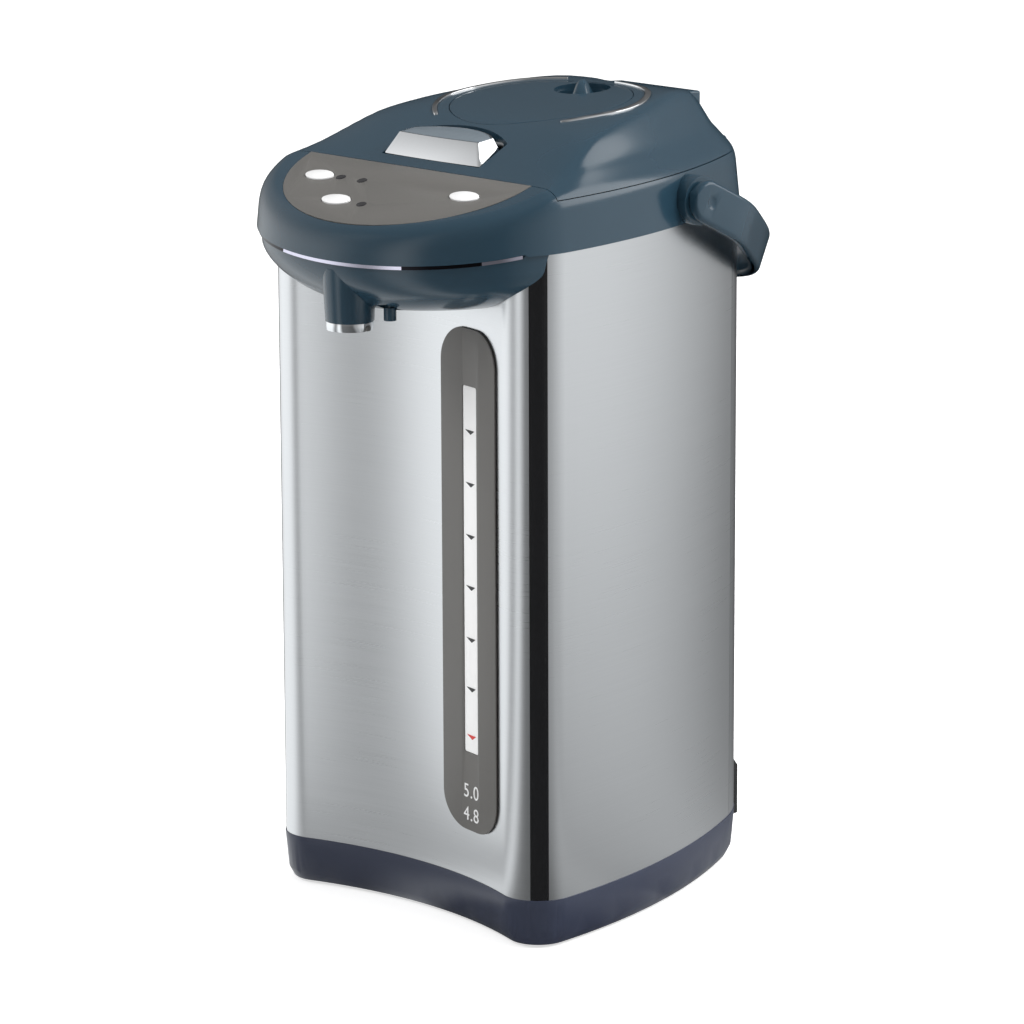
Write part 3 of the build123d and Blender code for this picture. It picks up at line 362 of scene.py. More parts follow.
# crest: (share of the way from the panel to the rear, height along the middle)
# shoulder: (depth in from the wall, height above the rim)
head = dict(halfWidth=90.0, widestY=-84.2, sideRadius=344.0, rearRadius=62.0, frontRadius=200.0,
            cornerRadius=18.0, frontY=-91.0, beakReach=62.0, lean=0.1, leanFrom=326.0,
            leanTo=372.0, panelSlope=0.34, panelY=-88.0, panelZ=354.3, shoulderZ=353.0,
            tailHalf=40.0, crownPower=8.0, crownReach=1.1, bottomZ=300.0, blend=5.0, seamZ=349.4,
            lidFrontY=-87.6,
            crest=[(0.202, 371.0), (0.308, 375.0), (0.430, 377.4), (0.627, 380.0), (0.733, 379.4),
                   (0.839, 374.5), (0.919, 367.0), (0.988, 356.5)],
            tail=(24.7, 330.0), steps=(34, 24, 18), bodySteps=14, frontSteps=32,
            wallShares=(0.0, 0.35, 0.6, 0.8, 0.92),
            shoulder=[(0.0, -9.0), (0.25, -6.2), (1.0, -3.6), (2.4, -1.2), (4.4, 1.2), (7.0, 4.4),
                      (10.8, 9.5), (28.0, 45.0)],
            shoulderRings=22, shoulderDepth=21.0, shoulderPower=1.6, crownRings=20)
slot = dict(tipZ=318.5, tipY=-148.0, slope=0.175, height=2.2, collarZ=326.0, far=200)
deck = dict(bottom=338.0, wall=2.4, mouth=64.5, vesselY=-7.0)
toolHalf = 120  # half the width of the tools that reach right across the head


def crossing(c1, r1, c2, r2):
    # the right-hand crossing of two circles
    dx, dy = c2[0] - c1[0], c2[1] - c1[1]
    d = math.hypot(dx, dy)
    a = (r1 * r1 - r2 * r2 + d * d) / (2 * d)
    h = math.sqrt(r1 * r1 - a * a)
    return max((c1[0] + (a * dx + s * h * dy) / d, c1[1] + (a * dy - s * h * dx) / d)
               for s in (1, -1))


def onCircle(c, r, a):
    return (c[0] + r * math.cos(a), c[1] + r * math.sin(a))


def arcPoints(c, r, a0, a1, steps):
    # from a0 up to the step before a1
    return [onCircle(c, r, a0 + (a1 - a0) * i / steps) for i in range(steps)]


def bearing(c, p):
    return math.atan2(p[1] - c[1], p[0] - c[0])


def panelHeight(y, lift=0.0):
    # the sloping panel's height, and above it by a lift measured square to the panel
    slope = head["panelSlope"]
    return head["panelZ"] + slope * (y - head["panelY"]) + lift * math.hypot(1.0, slope)


frontCentre = (0.0, head["frontY"] - head["frontRadius"])
sideCentre = (head["halfWidth"] - head["sideRadius"], head["widestY"])
cornerCentre = crossing(frontCentre, head["frontRadius"] + head["cornerRadius"],
                        sideCentre, head["sideRadius"] - head["cornerRadius"])
rearReach = math.sqrt((head["sideRadius"] - head["rearRadius"]) ** 2 - sideCentre[0] ** 2)
rearCentre = (0.0, head["widestY"] + rearReach)
frontAngle = bearing(frontCentre, cornerCentre)
sideEnd = bearing(sideCentre, rearCentre)
rearY = rearCentre[1] + head["rearRadius"]
crestLine = [(y, panelHeight(y)) for y in (-175.0, -130.0, head["panelY"])]
crestLine += [(head["panelY"] + share * (rearY - head["panelY"]), z) for share, z in head["crest"]]
crestLine += [(rearY + head["tail"][0], head["tail"][1])]


def through(points, at):
    # a smooth curve through points given as (place, value)
    last = len(points) - 1
    i = 0
    while i < last - 1 and at > points[i + 1][0]:
        i += 1

    def slope(j):
        a, b = points[max(0, j - 1)], points[min(last, j + 1)]
        return (b[1] - a[1]) / (b[0] - a[0])

    (p0, v0), (p1, v1) = points[i], points[i + 1]
    h = p1 - p0
    t = (at - p0) / h
    return (v0 * (2 * t ** 3 - 3 * t * t + 1) + slope(i) * h * (t ** 3 - 2 * t * t + t)
            + v1 * (3 * t * t - 2 * t ** 3) + slope(i + 1) * h * (t ** 3 - t * t))


def rimHeight(y):
    return min(head["shoulderZ"], through(crestLine, y))


def halfWidthAt(y):
    if y < head["widestY"]:
        return head["halfWidth"]
    if y < onCircle(rearCentre, head["rearRadius"], sideEnd)[1]:
        return sideCentre[0] + math.sqrt(head["sideRadius"] ** 2 - (y - head["widestY"]) ** 2)
    square = head["rearRadius"] ** 2 - (y - rearCentre[1]) ** 2
    return math.sqrt(max(square, head["tailHalf"] ** 2))


def crownHeight(x, y):
    top = through(crestLine, y)
    out = min(head["crownReach"], abs(x) / halfWidthAt(y))
    return top - (top - rimHeight(y)) * out ** head["crownPower"]


def softLower(a, b, blend):
    # the lower of two heights, rounded off where they are near each other
    near = max(blend - abs(a - b), 0.0) / blend
    return min(a, b) - near * near * blend / 4


def headOutline(off):
    # from the beak's tip over the right side to the rear, then back along the left
    front, side, rear = head["steps"]
    half, reach = head["halfWidth"] + off, head["beakReach"] + off
    pts = []
    for i in range(front):
        a = math.pi / 2 * (1 - i / front)
        pts.append((half * math.cos(a), head["widestY"] - reach * math.sin(a)))
    pts += arcPoints(sideCentre, head["sideRadius"] + off, 0, sideEnd, side)
    pts += arcPoints(rearCentre, head["rearRadius"] + off, sideEnd, math.pi / 2, rear)
    return pts + [(0.0, rearY + off)] + [(-x, y) for x, y in reversed(pts[1:])]


def bodyOutline(off):
    # the steel body's plan with its hollow front, counter-clockwise from the front's right end
    start, end = bearing(cornerCentre, frontCentre), bearing(sideCentre, cornerCentre)
    steps = head["bodySteps"]
    pts = arcPoints(cornerCentre, head["cornerRadius"] + off, start, end, steps)
    pts += arcPoints(sideCentre, head["sideRadius"] + off, end, sideEnd, steps)
    pts += arcPoints(rearCentre, head["rearRadius"] + off, sideEnd, math.pi / 2, steps)
    front = arcPoints(frontCentre, head["frontRadius"] - off, math.pi - frontAngle, frontAngle,
                      head["frontSteps"])
    return pts + [(0.0, rearY + off)] + [(-x, y) for x, y in reversed(pts[1:])] + front


def leanOff(z):
    return 1.0 - (z - head["leanFrom"]) * head["lean"]


def ringLoft(name, rings, closeTop=True):
    # a closed skin over rings of equal count, each point in millimetres
    count = len(rings[0])
    verts = [(x * mm, y * mm, z * mm) for ring in rings for x, y, z in ring]
    faces = []
    for j in range(len(rings) - 1):
        for k in range(count):
            a, b = j * count + k, j * count + (k + 1) % count
            faces.append((a, b, b + count, a + count))
    faces.append(tuple(reversed(range(count))))
    if closeTop:
        faces.append(tuple((len(rings) - 1) * count + k for k in range(count)))
    mesh = bpy.data.meshes.new(name)
    mesh.from_pydata(verts, [], faces)
    obj = bpy.data.objects.new(name, mesh)
    bpy.context.collection.objects.link(obj)
    edit(obj)
    bpy.ops.mesh.remove_doubles(threshold=0.00002)
    bpy.ops.mesh.dissolve_degenerate(threshold=0.00001)
    bpy.ops.mesh.normals_make_consistent(inside=False)
    leave()
    return obj


def headForm(name):
    # the whole head as one smooth form: wall, shoulder, crown, and a spine where the halves meet
    rings = []
    base = headOutline(0.0)
    foot, low = head["shoulder"][0][1], head["bottomZ"]
    for share in head["wallShares"]:
        ring = []
        for k, (x, y) in enumerate(base):
            z = low + (rimHeight(y) + foot - low) * share
            ring.append((*headOutline(leanOff(z))[k], z))
        rings.append(ring)
    for i in range(head["shoulderRings"] + 1):
        depth = head["shoulderDepth"] * (i / head["shoulderRings"]) ** head["shoulderPower"]
        lift = through(head["shoulder"], depth)
        ring = []
        for k, (x, y) in enumerate(base):
            z = rimHeight(y) + lift
            for settling in range(3):  # place and height depend on each other
                x, y = headOutline(leanOff(min(z, head["leanTo"])) - depth)[k]
                z = softLower(crownHeight(x, y), rimHeight(y) + lift, head["blend"])
            ring.append((x, y, z))
        rings.append(ring)
    edge = rings[-1]
    for i in range(1, head["crownRings"] + 1):
        t = i / head["crownRings"]
        ring = []
        for x, y, z in edge:
            spineY = min(max(y, head["widestY"]), rearCentre[1])
            x, y = x * (1 - t), y + (spineY - y) * t
            ring.append((x, y, crownHeight(x, y)))
        rings.append(ring)
    return ringLoft(name, rings, closeTop=False)


def combine(obj, how, *tools):
    for tool in tools:
        step = obj.modifiers.new("step", "BOOLEAN")
        step.operation = how
        step.object = tool
        step.solver = "EXACT"
        applyAll(obj)
        bpy.data.objects.remove(tool)
    return obj


def cut(obj, *tools):
    return combine(obj, "DIFFERENCE", *tools)


def keep(obj, *tools):
    return combine(obj, "INTERSECT", *tools)


def weld(obj, *tools):
    return combine(obj, "UNION", *tools)


def joined(made):
    only(made[0])
    for other in made[1:]:
        other.select_set(True)
    if len(made) > 1:
        bpy.ops.object.join()
    return bpy.context.object


def block(x0, x1, y0, y1, z0, z1):
    middle = ((x0 + x1) / 2 * mm, (y0 + y1) / 2 * mm, (z0 + z1) / 2 * mm)
    bpy.ops.mesh.primitive_cube_add(size=1, location=middle)
    bpy.context.object.scale = ((x1 - x0) * mm, (y1 - y0) * mm, (z1 - z0) * mm)
    fixPlace()
    return bpy.context.object


def rod(r, z0, z1, y, sides=96):
    # an upright rod on the plane of symmetry
    bpy.ops.mesh.primitive_cylinder_add(vertices=sides, radius=r * mm, depth=(z1 - z0) * mm,
                                        location=(0, y * mm, (z0 + z1) / 2 * mm))
    fixPlace()
    return bpy.context.object


def crossRod(r, x0, x1, y, z):
    bpy.ops.mesh.primitive_cylinder_add(vertices=48, radius=r * mm, depth=abs(x1 - x0) * mm,
                                        location=((x0 + x1) / 2 * mm, y * mm, z * mm),
                                        rotation=(0, math.pi / 2, 0))
    fixPlace()
    return bpy.context.object


def prism(outline, *heights):
    # an upright block over a plan; its ends may follow a height given by place
    return ringLoft("prism", [[(x, y, height(x, y) if callable(height) else height)
                               for x, y in outline] for height in heights])


def sideProfile(points, half):
    return ringLoft("profile", [[(x, y, z) for y, z in points] for x in (-half, half)])


def slotHeight(y):
    return slot["tipZ"] + slot["slope"] * (y - slot["tipY"])


def belowSlot(lift):
    # the slot's line from the front to the rear: it climbs, then runs level round the collar
    far, level = slot["far"], slot["collarZ"]
    turnY = slot["tipY"] + (level - slot["tipZ"]) / slot["slope"]
    return [(-far, slotHeight(-far) + lift), (turnY - 1, slotHeight(turnY - 1) + lift),
            (turnY, level), (far, level)]


film = dict(half=71.5, reach=53.0, thick=0.8, steps=72, gap=0.15, keySize=(17.0, 9.0), keyGap=0.4,
            keys=[(-47.0, -106.0), (-18.0, -123.5), (46.0, -105.0)], lampSize=(5.2, 4.4),
            lampGap=0.2, lamps=[(-34.0, -105.0), (-20.0, -105.0), (-1.0, -124.0)], ovalSteps=40,
            well=(-8.0, 4.0), above=6.0)


def filmOutline(grow):
    half, reach = film["half"] + grow, film["reach"] + 2 * grow
    angles = (math.pi * i / film["steps"] for i in range(film["steps"] + 1))
    return [(half * math.cos(a), head["panelY"] + grow - reach * math.sin(a)) for a in angles]


def filmBlock(outline, low, high):
    return prism(outline, lambda x, y: panelHeight(y, low), lambda x, y: panelHeight(y, high))


def panelWell(x, y, size, grow):
    # an oval hole through the panel, for a key or a lamp
    angles = (2 * math.pi * i / film["ovalSteps"] for i in range(film["ovalSteps"]))
    foreshort = math.hypot(1.0, head["panelSlope"])
    outline = [(x + (size[0] / 2 + grow) * math.cos(a),
                y + (size[1] / 2 + grow) * math.sin(a) / foreshort) for a in angles]
    return filmBlock(outline, *film["well"])


def slotSide(lift, endZ):
    # all that lies above or below the slot
    return sideProfile(belowSlot(lift) + [(slot["far"], endZ), (-slot["far"], endZ)], toolHalf)


hinge = dict(y=rearY - 3.3, z=347.0, r=3.8, half=16.0, earAt=2.5, earHalf=2.2, earDepth=8,
             earFoot=0.5, reach=30)
collar = dict(inset=3.4, low=260, high=400, rear=130, seamGap=0.4, roomTop=360.0,
              roomBox=(-115, 115, head["panelY"], 115, 330, 370), beakInset=5.5, beakRoof=2.8,
              throatHalf=82, throatReach=4, mouthRise=4, slotLow=200, pinHole=1.5,
              hingeRoom=(-16.3, 16.3, hinge["y"] - 6, rearY + 20, hinge["z"] - 5.2, 372),
              boltHole=(-12.8, 12.8, -91, -87, 344.7, 348.1))


def hingeRod(r, x0, x1):
    return crossRod(r, x0, x1, hinge["y"], hinge["z"])


def makeCollar():
    obj = headForm("headCollar")
    low, bottom = collar["low"], deck["bottom"]
    wallY = head["panelY"] - deck["wall"]
    upper = keep(prism(bodyOutline(-collar["inset"]), bottom + deck["wall"], collar["roomTop"]),
                 block(*collar["roomBox"]))
    beak = prism([p for p in headOutline(-collar["beakInset"]) if p[1] < wallY],
                 low, lambda x, y: panelHeight(y) - collar["beakRoof"])
    lidSpace = block(-toolHalf, toolHalf, head["panelY"], collar["rear"],
                     head["seamZ"] - collar["seamGap"], collar["high"])
    cut(obj, lidSpace, slotSide(slot["height"] / 2, collar["slotLow"]),
        prism(bodyOutline(-collar["inset"]), low, bottom), upper, beak,
        block(-collar["throatHalf"], collar["throatHalf"], wallY - collar["throatReach"],
              head["panelY"] + collar["throatReach"], low, bottom),
        rod(deck["mouth"], bottom - 1, bottom + collar["mouthRise"], deck["vesselY"]),
        filmBlock(filmOutline(film["gap"]), -film["thick"], film["above"]))
    for x, y in film["keys"]:
        cut(obj, panelWell(x, y, film["keySize"], film["keyGap"]))
    for x, y in film["lamps"]:
        cut(obj, panelWell(x, y, film["lampSize"], film["lampGap"]))
    for side in (-1, 1):
        x = side * (hinge["half"] + hinge["earAt"])
        x0, x1 = x - hinge["earHalf"], x + hinge["earHalf"]
        weld(obj, hingeRod(hinge["r"], x0, x1),
             block(x0, x1, hinge["y"] - hinge["earDepth"], hinge["y"],
                   bottom + hinge["earFoot"], hinge["z"]))
    cut(obj, block(*collar["hingeRoom"]),
        hingeRod(collar["pinHole"], -hinge["reach"], hinge["reach"]), block(*collar["boltHole"]))
    return place(rounded(obj), "headCollar", "collar")


arcs = dict(radius=50.0, width=3.0, floor=367.5, proud=0.7, steps=56, ends=0.55, swell=0.45,
            edge=0.3, spans=[(119.0, 116.0), (-36.0, 125.0)])


def crescent(start, sweep, grow):
    # plan of one arc beside the pump disc, narrowing at its ends
    outer, inner = [], []
    centre = (0.0, deck["vesselY"])
    for i in range(arcs["steps"] + 1):
        share = i / arcs["steps"]
        a = math.radians(start + sweep * share)
        swell = arcs["ends"] + arcs["swell"] * math.sin(math.pi * share) ** 0.5
        half = arcs["width"] / 2 * swell + grow
        if i in (0, arcs["steps"]):
            a += math.radians(grow / arcs["radius"] * 57.3) * (1 if i else -1)
        outer.append(onCircle(centre, arcs["radius"] + half, a))
        inner.append(onCircle(centre, arcs["radius"] - half, a))
    return outer + inner[::-1]


def makeArcs():
    made = [prism(crescent(*span, 0.0), arcs["floor"],
                  lambda x, y: crownHeight(x, y) + arcs["proud"]) for span in arcs["spans"]]
    return place(rounded(joined(made), arcs["edge"]), "accentArcs", "accent_arcs")


latch = dict(half=31.0, topHalf=25.5, frontY=-80.5, topFrontY=-76.0, rearY=-54.0, topRearY=-56.4,
             z0=357.3, z1=367.2, slope=0.1, bow=1.0, cap=1.2, cornerDrop=9.0, steps=28,
             tongue=(-7, 7, -73, -70, 354.0, 361.0), pinY=-58.0, pinZ=364.2, pinHole=(1.26, 40),
             seat=(0.4, 0.6, 0.3), above=4.0, edge=0.45, capInset=(0.75, 0.95, 0.6), capGap=0.01,
             capProud=0.1, capEdge=0.3)


def latchPlan(half, frontY, rearY, bow=0.0):
    # straight sides, a rear that runs round to the middle, and a front that may bow slightly
    drop, steps = latch["cornerDrop"], latch["steps"]
    r = (half * half + drop * drop) / (2 * drop)
    spread = math.asin(half / r)
    angles = (spread * (1 - 2 * i / steps) for i in range(steps + 1))
    rear = [(r * math.sin(a), rearY - r + r * math.cos(a)) for a in angles]
    front = [(-half + 2 * half * i / steps, frontY + bow * (2 * i / steps - 1) ** 2)
             for i in range(steps + 1)]
    return rear + front


def latchLevel(lift):
    return lambda x, y: latch["z1"] + latch["slope"] * (y - latch["topFrontY"]) + lift


def latchTop(side, front, rear):
    # the plan of the latch's top, drawn in from its edge
    return latchPlan(latch["topHalf"] - side, latch["topFrontY"] + front,
                     latch["topRearY"] - rear, latch["bow"])


def latchPin(r, reach):
    return crossRod(r, -reach, reach, latch["pinY"], latch["pinZ"])


def makeLatch():
    foot = latchPlan(latch["half"], latch["frontY"], latch["rearY"], latch["bow"])
    top = latchTop(0, 0, 0)
    lever = ringLoft("latchFrame", [[(x, y, latch["z0"]) for x, y in foot],
                                    [(x, y, latchLevel(0.0)(x, y)) for x, y in top]])
    weld(lever, block(*latch["tongue"]))
    seat = prism(latchTop(*latch["seat"]), latchLevel(-latch["cap"]), latchLevel(latch["above"]))
    cut(lever, seat, latchPin(*latch["pinHole"]))
    place(rounded(lever, latch["edge"], segments=3), "latchFrame", "latch_lever")
    cap = prism(latchTop(*latch["capInset"]), latchLevel(-latch["cap"] + latch["capGap"]),
                latchLevel(latch["capProud"]))
    cut(cap, latchPin(*latch["pinHole"]))
    return place(rounded(cap, latch["capEdge"]), "latchCap", "latch_lever", "latchGrey")


lid = dict(inset=5.5, low=330.0, roof=350.6, high=400.0, rear=130,
           roomBox=(-115, 115, head["lidFrontY"] + deck["wall"], 130, 320, 400),
           pocket=(-52, 52, -42, 34, 350, 361.5), discHole=(43.4, 340, 400),
           latchHole=(31.5, -81.0, -53.1), latchFloor=350.0, ventHole=(-26, 26, 47, 76, 340, 400),
           arcGap=0.12, arcSink=0.1, earRoom=(4.3, 16.0, 21.6), pinHole=1.56, latchPin=(1.2, 33.5),
           frontBar=(-18, 18, -87.6, -85.2, 343.2, 350.4),
           boltHole=(-12.4, 12.4, -88.6, -83.6, 344.8, 348.0))


def makeLid():
    obj = headForm("lidCover")
    keep(obj, block(-toolHalf, toolHalf, head["lidFrontY"], lid["rear"],
                    head["seamZ"], lid["high"]))
    under = keep(prism(bodyOutline(-lid["inset"]), lid["low"], lid["roof"]),
                 block(*lid["roomBox"]))
    cut(obj, under, block(*lid["pocket"]), rod(*lid["discHole"], deck["vesselY"], sides=160),
        prism(latchPlan(*lid["latchHole"]), lid["latchFloor"], lid["high"]),
        block(*lid["ventHole"]))
    for span in arcs["spans"]:
        cut(obj, prism(crescent(*span, lid["arcGap"]), arcs["floor"] - lid["arcSink"],
                       lid["high"]))
    r, near, away = lid["earRoom"]
    for side in (-1, 1):
        cut(obj, hingeRod(r, side * near, side * away))
    weld(obj, hingeRod(hinge["r"], -hinge["half"], hinge["half"]), block(*lid["frontBar"]))
    cut(obj, hingeRod(lid["pinHole"], -hinge["reach"], hinge["reach"]),
        latchPin(*lid["latchPin"]), block(*lid["boltHole"]))
    return place(rounded(obj), "lidCover", "lid_cover")


vent = dict(half=25.85, outside=[(47.15, 352), (47.15, 377.35), (75.85, 375.05), (75.85, 352)],
            innerHalf=23.8, inside=[(49.2, 340), (49.2, 375.1), (73.8, 373.1), (73.8, 340)],
            edge=1.4, slits=5, pitch=4, slit=(-16, 16, 54, 55.8, 371, 400))


def makeVent():
    obj = sideProfile(vent["outside"], vent["half"])
    cut(obj, sideProfile(vent["inside"], vent["innerHalf"]))
    rounded(obj, vent["edge"], limit=60.0, segments=3)
    x0, x1, y0, y1, z0, z1 = vent["slit"]
    for i in range(vent["slits"]):
        cut(obj, block(x0, x1, y0 + i * vent["pitch"], y1 + i * vent["pitch"], z0, z1))
    return place(rounded(obj), "steamVent", "steam_vent")


knob = dict(y=21, cup=(13.1, 372.2, 377.4), hollow=(11.7, 374.0, 380), shaft=(4.0, 367.4, 373.0),
            foot=375.0, rise=8.9, spread=4.3, reach=11.3, power=0.9, turned=38, steps=24,
            sideSteps=13, sideStep=0.5, root=373.0)
disc = dict(rim=(43.0, 366, 400), edge=0.5, hollow=(40.8, 364, 400), boss=(15.1, 369.8, 400),
            knobSeat=(13.4, 372.0, 400), shaftHole=(4.1, 360, 400), roofHalf=60,
            roof=[(-60, 340), (-60, 364.4), (50, 376.3), (50, 340)])


def makeDisc():
    obj = headForm("pumpDisc")
    keep(obj, rod(*disc["rim"], deck["vesselY"], sides=160))
    rounded(obj, disc["edge"], limit=55.0)
    roof = sideProfile(disc["roof"], disc["roofHalf"])
    hollow = keep(rod(*disc["hollow"], deck["vesselY"]), roof)
    cut(hollow, rod(*disc["boss"], knob["y"]))
    cut(obj, hollow, rod(*disc["knobSeat"], knob["y"]), rod(*disc["shaftHole"], knob["y"]))
    return place(rounded(obj), "pumpDisc", "pump_disc")


def makeKnob():
    # a shallow cup with a bell-shaped fin across it
    obj = cut(rod(*knob["cup"], knob["y"]), rod(*knob["hollow"], knob["y"]))
    widths = [w * knob["sideStep"] for w in range(-knob["sideSteps"], knob["sideSteps"] + 1)]
    rings = []
    for i in range(knob["steps"] + 1):
        along = -knob["reach"] + 2 * knob["reach"] * i / knob["steps"]
        lift = knob["rise"] * math.sin(math.pi * i / knob["steps"]) ** knob["power"]
        ring = [(w, along, knob["foot"] + lift * math.exp(-abs(w / knob["spread"]) ** 3))
                for w in widths]
        rings.append(ring + [(widths[-1], along, knob["root"]), (widths[0], along, knob["root"])])
    fin = ringLoft("fin", rings)
    only(fin)
    fin.rotation_euler = (0, 0, math.radians(knob["turned"]))
    fin.location = (0, knob["y"] * mm, 0)
    fixPlace()
    weld(obj, fin, rod(*knob["shaft"], knob["y"]))
    return place(rounded(obj), "lockKnob", "lock_knob")


belly = dict(rim=318.0, bottom=294.5, rimSize=(88.5, 61.5), bottomSize=(30.0, 35.0), power=1.8,
             top=336.0, flare=(1.6, 1.2), wall=2.4, steps=64, levels=20, bodyGap=0.3, low=250.0,
             high=400.0, room=(-100, 100, -170, -94.2, 290, 345), spoutY=-133,
             spoutBoss=(10.1, 290, 312), spoutHole=(5.45, 280, 320),
             leverHole=(15, 23, -131, -121, 290, 309), passage=(8, 50, -112, -80, 320, 330))


def bellyRing(z, inset):
    share = min(1.0, max(0.0, (belly["rim"] - z) / (belly["rim"] - belly["bottom"])))
    k = (1 - share ** belly["power"]) ** (1 / belly["power"])
    half, reach = (low + (rim - low) * k - inset
                   for rim, low in zip(belly["rimSize"], belly["bottomSize"]))
    if z > belly["rim"]:
        half, reach = half + belly["flare"][0], reach + belly["flare"][1]
    angles = (math.pi * i / belly["steps"] for i in range(belly["steps"] + 1))
    return [(half * math.cos(a), head["widestY"] - reach * math.sin(a), z + inset * share)
            for a in angles]


def bellyForm(inset):
    count = belly["levels"]
    shares = [math.sin(math.pi / 2 * i / count) for i in range(count, -1, -1)]
    levels = [belly["rim"] - s * (belly["rim"] - belly["bottom"]) for s in shares]
    return ringLoft("belly", [bellyRing(z, inset) for z in levels + [belly["top"]]])


def makeBelly():
    obj = bellyForm(0.0)
    above = slotSide(-slot["height"] / 2, belly["high"])
    inner = keep(bellyForm(belly["wall"]), block(*belly["room"]))
    cut(inner, rod(*belly["spoutBoss"], belly["spoutY"]))
    body = prism(bodyOutline(belly["bodyGap"]), belly["low"], belly["high"])
    cut(obj, above, body, inner, rod(*belly["spoutHole"], belly["spoutY"]),
        block(*belly["leverHole"]), block(*belly["passage"]))
    return place(rounded(obj), "beakUnderside", "beak_lower")


# section: (depth from the wall, height from the slot's middle)
trim = dict(endY=-105.6, section=((-0.9, -0.75), (-0.9, 0.75), (-4.8, 0.75), (-4.8, -0.75)))


def makeSlotTrim():
    # a strip set back in the seam, from the left end round the tip to the right end
    rings = []
    base = headOutline(0.0)
    stations = [i for i, (x, y) in enumerate(base) if y < trim["endY"]]
    for i in sorted(stations, key=lambda i: base[i][0]):
        ring = []
        for depth, lift in trim["section"]:
            z = slotHeight(base[i][1]) + lift
            x, y = headOutline(leanOff(z) + depth)[i]
            ring.append((x, y, slotHeight(y) + lift))
        rings.append(ring)
    return place(rounded(ringLoft("slotTrim", rings)), "slotTrim", "slot_trim", "trimChromePaintedReflection")


# the bar's line runs from the pivot at 0 to the rear at 1: along the side, then round the rear
handle = dict(pivotY=12.0, pivotZ=336.5, droop=26.0, half=10.0, wall=5.4, proud=13.7, outside=13.5,
              gap=8.1, edge=2.4, softening=14, steps=56, sideShare=0.45, rearShare=0.55,
              straightTo=0.18, easeOver=0.4, easePower=1.5, endSteps=12, endHalf=0.6, edgeSteps=5,
              channelFrom=56, channelWall=1.8, channelHalf=9.6, channelEdge=0.4, channelDrop=1.6,
              channelAt=91, socket=5.06, socketFrom=4, socketTo=2.0, dimple=7.0, dimpleAt=6.2)


def bailPoint(t, off):
    level = math.cos(math.radians(handle["droop"]))
    if t < handle["sideShare"]:
        start = math.asin((handle["pivotY"] - head["widestY"]) / head["sideRadius"])
        a = start + (sideEnd - start) * t / handle["sideShare"]
        x, y = onCircle(sideCentre, head["sideRadius"] + off, a)
    else:
        a = sideEnd + (math.pi / 2 - sideEnd) * (t - handle["sideShare"]) / handle["rearShare"]
        x, y = onCircle(rearCentre, head["rearRadius"] + off, a)
    return x, (y - handle["pivotY"]) / level


def bailLine(off, faceX):
    # the bar's edge, straight near the pivot and then eased into the bend
    line = []
    reachX = faceX - bailPoint(handle["straightTo"], off)[0]
    for i in range(handle["steps"] + 1):
        t = i / handle["steps"]
        x, reach = bailPoint(t, off)
        straight = max(0.0, 1 - max(0.0, t - handle["straightTo"]) / handle["easeOver"])
        x = faceX if t <= handle["straightTo"] else x + reachX * straight ** handle["easePower"]
        line.append((min(x, faceX), reach))
    for softening in range(handle["softening"]):
        line = line[:1] + [((a[0] + 2 * b[0] + c[0]) / 4, (a[1] + 2 * b[1] + c[1]) / 4)
                           for a, b, c in zip(line, line[1:], line[2:])] + line[-1:]
    return line


def barRing(outer, inner, half, edge):
    # one section of the bar, square to its run; its rounded edges never meet
    ring = []
    wide = math.dist(outer, inner)
    edge = min(edge, half * 0.98, wide * 0.46)
    for share, up in ((0.0, -1), (0.0, 1), (1.0, 1), (1.0, -1)):
        for i in range(handle["edgeSteps"] + 1):
            a = math.pi / 2 * i / handle["edgeSteps"]
            c, s = math.cos(a), math.sin(a)
            if (share, up) in ((0.0, -1), (1.0, 1)):
                c, s = s, c
            across = edge * (1 - c) if share == 0.0 else wide - edge * (1 - c)
            ring.append((outer[0] + (inner[0] - outer[0]) * across / wide,
                         outer[1] + (inner[1] - outer[1]) * across / wide,
                         up * (half - edge * (1 - s))))
    return ring


def channelRing(o, n):
    # a section of the channel along the bar's underside
    wall, at = handle["channelWall"], handle["channelAt"]
    ring = barRing((o[0] - wall * o[0] / at, o[1] - wall), (n[0] + wall * n[0] / at, n[1] + wall),
                   handle["channelHalf"], handle["channelEdge"])
    return [(x, y, z - handle["channelDrop"]) for x, y, z in ring]


def makeHandle():
    seatX = halfWidthAt(handle["pivotY"])
    faceX = seatX + handle["proud"]
    backX = faceX - handle["wall"]
    outer = bailLine(handle["outside"], faceX)
    inner = bailLine(handle["gap"], backX)
    stations = []
    for i in range(handle["endSteps"]):
        s = -handle["half"] * math.cos(math.pi / 2 * i / handle["endSteps"])
        half = math.sqrt(handle["half"] ** 2 - s * s)
        stations.append(((faceX, s), (backX, s), max(half, handle["endHalf"])))
    stations += [(o, n, handle["half"]) for o, n in zip(outer, inner)]
    stations += [((-o[0], o[1]), (-n[0], n[1]), h) for o, n, h in reversed(stations[:-1])]
    obj = ringLoft("carryHandle", [barRing(o, n, h, handle["edge"]) for o, n, h in stations])
    cut(obj, ringLoft("channel", [channelRing(o, n) for o, n, h in stations
                                  if o[1] > handle["channelFrom"]]))
    for side in (-1, 1):
        cut(obj, crossRod(handle["socket"], side * (seatX + handle["socketFrom"]),
                          side * (faceX - handle["socketTo"]), 0, 0))
        dimpleX = side * (faceX + handle["dimpleAt"]) * mm
        bpy.ops.mesh.primitive_uv_sphere_add(segments=48, ring_count=32, location=(dimpleX, mm, 0),
                                             radius=handle["dimple"] * mm)
        cut(obj, bpy.context.object)
    only(obj)
    obj.rotation_euler = (-math.radians(handle["droop"]), 0, 0)
    obj.location = (0, handle["pivotY"] * mm, handle["pivotZ"] * mm)
    return place(rounded(obj, smooth=40.0), "carryHandle", "handle")


